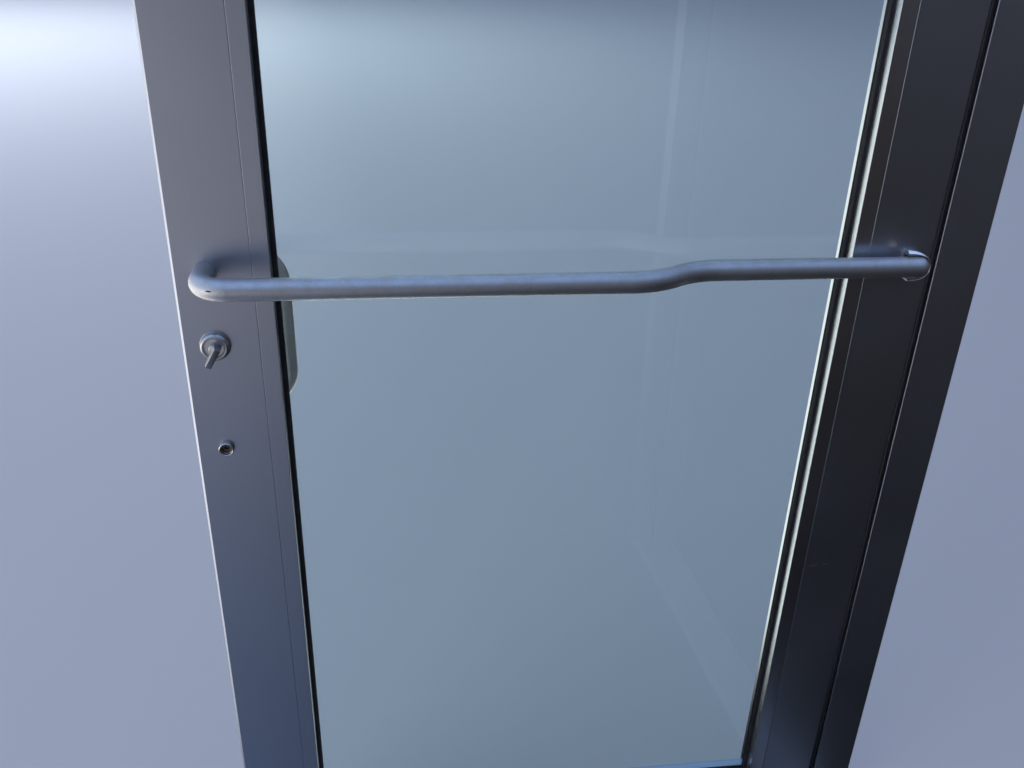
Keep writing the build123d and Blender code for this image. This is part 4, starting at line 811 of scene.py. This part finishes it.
class DOOR_OT_bars(bpy.types.Operator):
    """Finish the push bar, its socket and the pull handle"""

    bl_idname = "door.bars"
    bl_label = "Push bar and pull handle"

    def execute(self, context):
        finishes = context.scene.door_finishes
        # Brighter than the stiles, dulled by hands into soft cloudy grey with a few nicks
        colour = list(finishes.bar_colour)
        satin = handled_metal("clear_anodised_bar", colour, linear("BDB5AE"), 0.54)
        dress(("push_bar", "bar_socket", "pull_handle"), satin)
        self.socket_lip(context)
        return {"FINISHED"}

    def socket_lip(self, context):
        """The socket's polished open lip, which stands round the bar's end."""
        bm = bmesh.new()
        long, short = LIP_REACH
        rings = []
        for step in range(LIP_STEPS + 1):
            turn = math.radians(LIP_START - LIP_SWEEP * step / LIP_STEPS)
            full = LIP_FULLNESS[0] if turn >= 0 else LIP_FULLNESS[1]
            x = max(0.0, math.cos(turn)) ** (2 / full)
            y = math.copysign(abs(math.sin(turn)) ** (2 / full), turn)
            inner = Vector((long * x - LIP_BACK, short * y, 0))
            slope = (x ** (full - 1) / long, math.copysign(abs(y) ** (full - 1), y) / short, 0)
            away = Vector(slope).normalized()
            flare = max(0.0, (math.degrees(turn) - LIP_FLARE_TURN) / (LIP_START - LIP_FLARE_TURN))
            ring = []
            for out, height in LIP_SECTION:
                share = flare * max(0.0, (out - LIP_FLARE_START) / LIP_FLARE_WIDTH)
                drop = share * LIP_FLARE[1] if height > LIP_FLARE_HEIGHT else 0.0
                place = inner + away * (out + share * LIP_FLARE[0]) + UP * (height - drop)
                ring.append(bm.verts.new(place / 1000))
            rings.append(ring)
        loops = [ring_edges(bm, ring) for ring in rings]
        for start, end in zip(loops, loops[1:]):
            bmesh.ops.bridge_loops(bm, edges=start + end)
        bm.faces.new(rings[0])
        bm.faces.new(rings[-1])
        # Polished edge: a thin bright line along the lip, wider and bluer where it faces the sky
        lip = plain_metal(
            "polished_aluminium_lip",
            "F4F2EE",
            roughness=0.18,
            grain=(0.0009, 0.0009, 0.0009),
            relief=0.05,
            stain="DAD8D4",
        )
        place = on_leaf(SOCKET_ALONG, BAR_HEIGHT)
        add_piece(context, "socket_lip", bm, place, lip, "leaf")


class DOOR_OT_thumbturn(bpy.types.Operator):
    """Make the thumbturn and its stepped collar, and finish the cylinder behind them"""

    bl_idname = "door.thumbturn"
    bl_label = "Thumbturn"

    def execute(self, context):
        # Satin nickel: a warm grey, a little lighter than the stile, with bright rims and soft dark
        # flanks
        nickel = turned_metal(
            "satin_nickel_turned", "C4C3C4", 0.31, CYLINDER_ALONG, CYLINDER_HEIGHT
        )
        self.collar(context, nickel)
        self.turn(context, nickel)
        dress(TURNED_FITTINGS, nickel)
        return {"FINISHED"}

    def collar(self, context, nickel):
        """The collar: a step at its foot, a rounded rim and a sunk face."""
        bm = turned_shape(COLLAR_SECTION)
        place = on_leaf(CYLINDER_ALONG, CYLINDER_HEIGHT)
        piece = add_piece(context, "stepped_collar", bm, place, nickel, "leaf")
        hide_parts("thumbturn_collar")

    def turn(self, context, nickel):
        """The thumbturn: a tapered hub under a ridged blade that leans to one side."""
        bm = bmesh.new()
        bmesh.ops.create_cone(
            bm,
            cap_ends=True,
            segments=HUB_STEPS,
            radius1=HUB_RADII[0],
            radius2=HUB_RADII[1],
            depth=HUB_LENGTH,
            matrix=Matrix.Translation((0, 0, HUB_MIDDLE)),
        )
        rim = [edge for edge in bm.edges if all(vert.co.z > HUB_MIDDLE for vert in edge.verts)]
        bmesh.ops.bevel(
            bm,
            geom=rim,
            offset=HUB_ROUNDING,
            offset_type="OFFSET",
            affect="EDGES",
            segments=2,
            profile=0.5,
            material=-1,
        )
        ends = []
        for run, section in zip(BLADE_RUN, (BLADE_TAIL, BLADE_TIP)):
            end = [bm.verts.new((across / 1000, run, proud / 1000)) for across, proud in section]
            ends.append(end)
        loops = [ring_edges(bm, end) for end in ends]
        sides = bmesh.ops.bridge_loops(bm, edges=loops[0] + loops[1])
        caps = [bm.faces.new(end) for end in ends]
        blade = {edge for face in sides["faces"] + caps for edge in face.edges}
        bmesh.ops.bevel(
            bm,
            geom=list(blade),
            offset=BLADE_ROUNDING,
            offset_type="OFFSET",
            affect="EDGES",
            segments=3,
            profile=0.5,
            material=-1,
        )
        place = on_leaf(CYLINDER_ALONG, CYLINDER_HEIGHT) @ Matrix.Rotation(-BLADE_LEAN, 4, "Z")
        piece = add_piece(
            context, "ridged_thumbturn", bm, place, nickel, "thumbturn"
        )
        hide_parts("thumbturn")


class DOOR_OT_fittings(bpy.types.Operator):
    """Finish the lock plates, ferrule, key cylinder, pivots, screws and clips"""

    bl_idname = "door.fittings"
    bl_label = "Fittings"

    def execute(self, context):
        # Brushed up and down: a soft upright sheen, rubbed in small patches
        plate = plain_metal(
            "brushed_chrome_plate",
            "B9B9BC",
            roughness=0.30,
            grain=(0.0006, 0.0006, 0.03),
            relief=0.1,
        )
        dress(SATIN_PLATES, plate)
        # Polished nickel: a dark ring with thin glints
        ferrule = turned_metal("nickel_ferrule", "CDCBC9", 0.13, FERRULE_ALONG, FERRULE_HEIGHT)
        dress(("bolt_ferrule",), ferrule)
        rim = turned_shape(RIM_SECTION)
        place = on_leaf(FERRULE_ALONG, FERRULE_HEIGHT)
        add_piece(context, "ferrule_rim", rim, place, ferrule, "leaf")
        # Blackened steel, warm dark brown with darker stains: partly the steel's own colour, partly
        # painted shade at the bottom of the ferrule's recess where it sits
        bolt = plain_metal(
            "black_oxide_bolt_painted_shade",
            "756A64",
            roughness=0.34,
            grain=(0.0009, 0.0009, 0.0009),
            relief=0.2,
            stain="4A3F39",
            stained=0.4,
        )
        dress(("handle_bolts",), bolt)
        # Zinc plating: light grey, faintly grained, dulled in small patches
        zinc = plain_metal(
            "zinc_plated_steel",
            "8E8F93",
            roughness=0.38,
            grain=(0.0015, 0.0015, 0.0015),
            relief=0.15,
            stain="77746F",
            stained=0.35,
        )
        dress(PLATED_STEEL, zinc)
        # Brass under worn nickel: yellow-grey rings round the keyway
        brass = turned_metal("nickelled_brass", "B8AE93", 0.28, CYLINDER_ALONG, CYLINDER_HEIGHT)
        dress(("key_cylinder", "cylinder_plug"), brass)
        # Bare mill aluminium: flat light grey, with saw grain
        clip = plain_metal(
            "mill_aluminium_clip",
            "A7A7A7",
            roughness=0.45,
            grain=(0.002, 0.002, 0.004),
            relief=0.2,
        )
        dress(("header_clips", "corner_clips"), clip)
        # Walked on: light scuffs across the doorway over mill grey, and brownish dirt in patches
        sill = plain_metal(
            "scuffed_mill_threshold",
            "9D9D9D",
            roughness=0.42,
            grain=(0.0014, 0.05, 0.0014),
            relief=0.25,
            stain="6E675E",
            stained=0.5,
        )
        dress(("threshold",), sill)
        return {"FINISHED"}


class DOOR_OT_rubber(bpy.types.Operator):
    """Finish the gaskets, seals, sweep and setting blocks"""

    bl_idname = "door.rubber"
    bl_label = "Rubber"

    def execute(self, context):
        finishes = context.scene.door_finishes
        # Matt black that stays dark beside bright metal, with a thin film of grey dust
        material, tree, shader = new_material("black_epdm_rubber")
        place = add_node(tree, "ShaderNodeTexCoord")
        # Film of dust in patches about 17 mm wide
        film = add_node(
            tree,
            "ShaderNodeTexNoise",
            inputs={
                "Vector": place.outputs["Object"],
                "Scale": 60.0,
                "Detail": 6.0,
                "Roughness": 0.65,
            },
        )
        dusty = add_node(
            tree,
            "ShaderNodeMapRange",
            SMOOTH,
            {"Value": film.outputs["Fac"], "From Min": 0.4, "From Max": 0.8, "To Max": 0.12},
        )
        dusted = add_node(
            tree,
            "ShaderNodeMix",
            BLEND,
            {
                SHARE: dusty.outputs["Result"],
                FIRST: list(finishes.rubber_colour),
                SECOND: linear("6B6862"),
            },
        )
        dull = add_node(
            tree,
            "ShaderNodeMapRange",
            inputs={"Value": film.outputs["Fac"], "To Min": 0.5, "To Max": 0.7},
        )
        # Moulded skin with a grain of 1.4 mm, coarser than the real one so that it shows
        skin = add_node(
            tree,
            "ShaderNodeTexNoise",
            inputs={"Vector": place.outputs["Object"], "Scale": 700.0, "Detail": 2.0},
        )
        bump = add_node(
            tree,
            "ShaderNodeBump",
            inputs={"Strength": 0.2, "Distance": 0.0003, "Height": skin.outputs["Fac"]},
        )
        feed(
            tree,
            shader,
            {
                "Base Color": dusted.outputs[MIXED],
                "Roughness": dull.outputs["Result"],
                "Normal": bump.outputs["Normal"],
            },
        )
        dress(RUBBER, material)
        return {"FINISHED"}


class DOOR_OT_glass(bpy.types.Operator):
    """Finish the glass pane"""

    bl_idname = "door.glass"
    bl_label = "Glass"

    def execute(self, context):
        finishes = context.scene.door_finishes
        # Clear with a faint green cast: sharp see-through, reflections gently waved by the rollers,
        # and a hint of smears
        material, tree, shader = new_material("clear_tempered_glass")
        shader.inputs["Base Color"].default_value = list(finishes.glass_tint)
        shader.inputs["IOR"].default_value = 1.5
        shader.inputs["Transmission Weight"].default_value = 1.0
        place = add_node(tree, "ShaderNodeTexCoord")
        # Wiping streaks about 30 mm wide and 400 mm tall
        drawn = add_node(
            tree,
            "ShaderNodeMapping",
            SIZED,
            {"Vector": place.outputs["Object"], "Scale": (0.03, 0.03, 0.4)},
        )
        smears = add_node(
            tree,
            "ShaderNodeTexNoise",
            inputs={
                "Vector": drawn.outputs["Vector"],
                "Scale": 1.0,
                "Detail": 5.0,
                "Roughness": 0.6,
            },
        )
        dull = add_node(
            tree,
            "ShaderNodeMapRange",
            SMOOTH,
            {"Value": smears.outputs["Fac"], "From Min": 0.5, "From Max": 0.8, "To Max": 0.012},
        )
        # Roller waves about 250 mm long
        rollers = add_node(
            tree,
            "ShaderNodeTexNoise",
            inputs={"Vector": place.outputs["Object"], "Scale": 4.0, "Detail": 1.0},
        )
        wave = add_node(
            tree,
            "ShaderNodeBump",
            inputs={"Strength": 0.004, "Distance": 0.001, "Height": rollers.outputs["Fac"]},
        )
        feed(
            tree,
            shader,
            {
                "Roughness": dull.outputs["Result"],
                "Normal": wave.outputs["Normal"],
            },
        )
        dress(("glass_pane",), material)
        return {"FINISHED"}


class DOOR_OT_studio(bpy.types.Operator):
    """Lay the floor, set the lights and place the camera"""

    bl_idname = "door.studio"
    bl_label = "Studio"

    def execute(self, context):
        studio = context.scene.door_studio
        self.floor(context, studio)
        self.ground_card(context)
        self.surroundings(context, studio)
        self.soft_light(
            context,
            "key",
            power=studio.key_power,
            size=2.4,
            place=(-1.6, 2.9, 3.1),
            target=(0.2, 0.5, 0.7),
        )
        self.soft_light(
            context,
            "far",
            power=studio.far_power,
            size=9.0,
            place=(10.0, 8.0, 7.0),
            target=(10.0, 8.0, 0.0),
        )
        self.camera(context)
        return {"FINISHED"}

    def floor(self, context, studio):
        """The plain floor that the camera sees."""
        mesh = bpy.data.meshes.new("floor")
        bm = bmesh.new()
        bmesh.ops.create_circle(
            bm, cap_ends=True, segments=FLOOR_STEPS, radius=studio.floor_radius
        )
        bm.to_mesh(mesh)
        bm.free()
        floor = bpy.data.objects.new("floor", mesh)
        context.scene.collection.objects.link(floor)
        # Matt pale floor: even and plain, with soft shadows and no sheen
        material, _, shader = new_material("pale_studio_floor")
        shader.inputs["Base Color"].default_value = list(studio.floor_colour)
        shader.inputs["Roughness"].default_value = 0.9
        shader.inputs["Specular IOR Level"].default_value = 0.0
        mesh.materials.append(material)

    def ground_card(self, context):
        """Glowing card that only reflections show: painted ground, shaded outside, dark room
        inside, sunlit further out.
        """
        mesh = bpy.data.meshes.new("ground_card")
        bm = bmesh.new()
        bm.faces.new([bm.verts.new((x, y, CARD_LIFT)) for x, y in GROUND_CARD])
        bm.to_mesh(mesh)
        bm.free()
        card = bpy.data.objects.new("ground_card", mesh)
        context.scene.collection.objects.link(card)
        card.visible_camera = False
        card.visible_diffuse = False
        card.visible_shadow = False
        # Painted reflection of paving: bluish in shade, warmer and paler further out, near white in
        # the sun
        material = bpy.data.materials.new("painted_ground_reflection")
        material.use_nodes = True
        tree = material.node_tree
        tree.nodes.clear()
        place = add_node(tree, "ShaderNodeTexCoord")
        parts = add_node(tree, "ShaderNodeSeparateXYZ", inputs={"Vector": place.outputs["Object"]})
        far = add_node(
            tree,
            "ShaderNodeMapRange",
            SMOOTH,
            {"Value": parts.outputs["X"], "From Min": 0.1, "From Max": -4.0},
        )
        outside = add_node(
            tree,
            "ShaderNodeMapRange",
            SMOOTH,
            {"Value": parts.outputs["Y"], "From Min": 0.25, "From Max": 1.3},
        )
        bright = add_node(
            tree,
            "ShaderNodeMix",
            BLEND,
            {SHARE: far.outputs["Result"], FIRST: linear("6A7C9C"), SECOND: linear("DAD5DD")},
        )
        # Painted shade: the dark room beyond the doorway
        dark = add_node(
            tree,
            "ShaderNodeMix",
            BLEND,
            {SHARE: far.outputs["Result"], FIRST: linear("18191F"), SECOND: linear("35312E")},
        )
        shade = add_node(
            tree,
            "ShaderNodeMix",
            BLEND,
            {
                SHARE: outside.outputs["Result"],
                FIRST: dark.outputs[MIXED],
                SECOND: bright.outputs[MIXED],
            },
        )
        # Sunlit beyond the shade of the building, and behind the open leaf
        edge = add_node(
            tree,
            "ShaderNodeVectorMath",
            {"operation": "DOT_PRODUCT"},
            {0: place.outputs["Object"], 1: (0.33, 1.0, 0.0)},
        )
        beyond = add_node(
            tree,
            "ShaderNodeMapRange",
            SMOOTH,
            {"Value": edge.outputs["Value"], "From Min": 2.0, "From Max": 2.7},
        )
        past = add_node(
            tree,
            "ShaderNodeMapRange",
            inputs={"Value": parts.outputs["X"], "From Min": 0.15, "From Max": 3.15, "To Max": 3.0},
        )
        corner = add_node(
            tree,
            "ShaderNodeMath",
            {"operation": "MULTIPLY"},
            {0: past.outputs["Result"], 1: parts.outputs["Y"]},
        )
        behind = add_node(
            tree,
            "ShaderNodeMapRange",
            SMOOTH,
            {"Value": corner.outputs["Value"], "From Min": 0.18, "From Max": 0.4},
        )
        sunlit = add_node(
            tree,
            "ShaderNodeMath",
            {"operation": "MAXIMUM"},
            {0: beyond.outputs["Result"], 1: behind.outputs["Result"]},
        )
        ground = add_node(
            tree,
            "ShaderNodeMix",
            BLEND,
            {
                SHARE: sunlit.outputs["Value"],
                FIRST: shade.outputs[MIXED],
                SECOND: light("FFFCF8", 2.1),
            },
        )
        glow = add_node(tree, "ShaderNodeEmission", inputs={"Color": ground.outputs[MIXED]})
        clear = add_node(tree, "ShaderNodeBsdfTransparent")
        shown = add_node(
            tree,
            "ShaderNodeMixShader",
            inputs={0: mirrored(tree), 1: clear.outputs["BSDF"], 2: glow.outputs["Emission"]},
        )
        add_node(tree, "ShaderNodeOutputMaterial", inputs={"Surface": shown.outputs["Shader"]})
        mesh.materials.append(material)

    def surroundings(self, context, studio):
        """Sky and dark room for reflections, even light for dull surfaces, and a plain backdrop."""
        world = bpy.data.worlds.new("soft_studio")
        context.scene.world = world
        world.use_nodes = True
        tree = world.node_tree
        tree.nodes.clear()
        direction = add_node(tree, "ShaderNodeTexCoord")
        parts = add_node(
            tree, "ShaderNodeSeparateXYZ", inputs={"Vector": direction.outputs["Generated"]}
        )
        side = add_node(
            tree,
            "ShaderNodeVectorMath",
            {"operation": "DOT_PRODUCT"},
            {0: direction.outputs["Generated"], 1: (0.2, 0.95, 0.1)},
        )
        outside = add_node(
            tree,
            "ShaderNodeMapRange",
            SMOOTH,
            {"Value": side.outputs["Value"], "From Min": -0.2, "From Max": 0.75},
        )
        low = add_node(
            tree,
            "ShaderNodeMix",
            BLEND,
            {
                SHARE: outside.outputs["Result"],
                FIRST: linear("464442"),
                SECOND: light("D4E6FF", 1.06),
            },
        )
        height = add_node(
            tree,
            "ShaderNodeMapRange",
            SMOOTH,
            {"Value": parts.outputs["Z"], "From Min": 0.3, "From Max": 0.8},
        )
        sky = add_node(
            tree,
            "ShaderNodeMix",
            BLEND,
            {
                SHARE: height.outputs["Result"],
                FIRST: low.outputs[MIXED],
                SECOND: light("A9C9FF", 1.06),
            },
        )
        seen = add_node(
            tree,
            "ShaderNodeMix",
            BLEND,
            {
                SHARE: mirrored(tree),
                FIRST: list(studio.backdrop_colour),
                SECOND: sky.outputs[MIXED],
            },
        )
        path = add_node(tree, "ShaderNodeLightPath")
        shown = add_node(
            tree,
            "ShaderNodeMix",
            BLEND,
            {
                SHARE: path.outputs["Is Diffuse Ray"],
                FIRST: seen.outputs[MIXED],
                SECOND: list(studio.ambient_colour),
            },
        )
        background = add_node(tree, "ShaderNodeBackground", inputs={"Color": shown.outputs[MIXED]})
        add_node(
            tree, "ShaderNodeOutputWorld", inputs={"Surface": background.outputs["Background"]}
        )

    def soft_light(self, context, name, power, size, place, target):
        """A soft round light that no reflection shows. Its size and places are in metres."""
        data = bpy.data.lights.new(name, "AREA")
        data.shape = "DISK"
        data.size = size
        data.energy = power
        lamp = bpy.data.objects.new(name, data)
        context.scene.collection.objects.link(lamp)
        lamp.location = place
        lamp.rotation_euler = (Vector(target) - lamp.location).to_track_quat("-Z", "Y").to_euler()
        lamp.visible_glossy = False

    def camera(self, context):
        """The camera, over the bar in front of the open leaf's inner face, looking down at it."""
        yaw, pitch, roll = (math.radians(angle) for angle in CAMERA_TURN)
        along, depth, rise = CAMERA_PLACE
        place = leaf_point(along, depth, BAR_HEIGHT + rise)
        straight = ALONG * math.sin(yaw) + OUTWARD * math.cos(yaw)
        forward = straight * math.cos(pitch) - UP * math.sin(pitch)
        level = ALONG * math.cos(yaw) - OUTWARD * math.sin(yaw)
        down = forward.cross(level)
        right = level * math.cos(roll) + down * math.sin(roll)
        up = level * math.sin(roll) - down * math.cos(roll)
        data = bpy.data.cameras.new("camera")
        data.sensor_width = SENSOR
        data.lens = LENS
        data.clip_end = CAMERA_DEPTH
        camera = bpy.data.objects.new("camera", data)
        context.scene.collection.objects.link(camera)
        turned = Matrix((right, up, -forward)).transposed().to_4x4()
        camera.matrix_world = Matrix.Translation(place) @ turned
        context.scene.camera = camera
        context.scene.view_settings.view_transform = "Standard"


OPERATORS = (
    DOOR_OT_anodised_members,
    DOOR_OT_bars,
    DOOR_OT_thumbturn,
    DOOR_OT_fittings,
    DOOR_OT_rubber,
    DOOR_OT_glass,
    DOOR_OT_studio,
)


class DOOR_PT_panel(bpy.types.Panel):
    """The door's pieces and their settings"""

    bl_idname = "DOOR_PT_panel"
    bl_label = "Storefront door"
    bl_space_type = "VIEW_3D"
    bl_region_type = "UI"
    bl_category = "Door"

    def draw(self, context):
        for group in (context.scene.door_finishes, context.scene.door_studio):
            for name in group.__annotations__:
                self.layout.prop(group, name)
        for operator in OPERATORS:
            self.layout.operator(operator.bl_idname)


CLASSES = (DoorFinishes, StudioSettings, *OPERATORS, DOOR_PT_panel)


def register():
    for cls in CLASSES:
        bpy.utils.register_class(cls)
    bpy.types.Scene.door_finishes = PointerProperty(type=DoorFinishes)
    bpy.types.Scene.door_studio = PointerProperty(type=StudioSettings)


def unregister():
    del bpy.types.Scene.door_studio
    del bpy.types.Scene.door_finishes
    for cls in reversed(CLASSES):
        bpy.utils.unregister_class(cls)


def main():
    register()
    bpy.ops.door.anodised_members()
    bpy.ops.door.bars()
    bpy.ops.door.thumbturn()
    bpy.ops.door.fittings()
    bpy.ops.door.rubber()
    bpy.ops.door.glass()
    bpy.ops.door.studio()


if __name__ == "__main__":
    main()
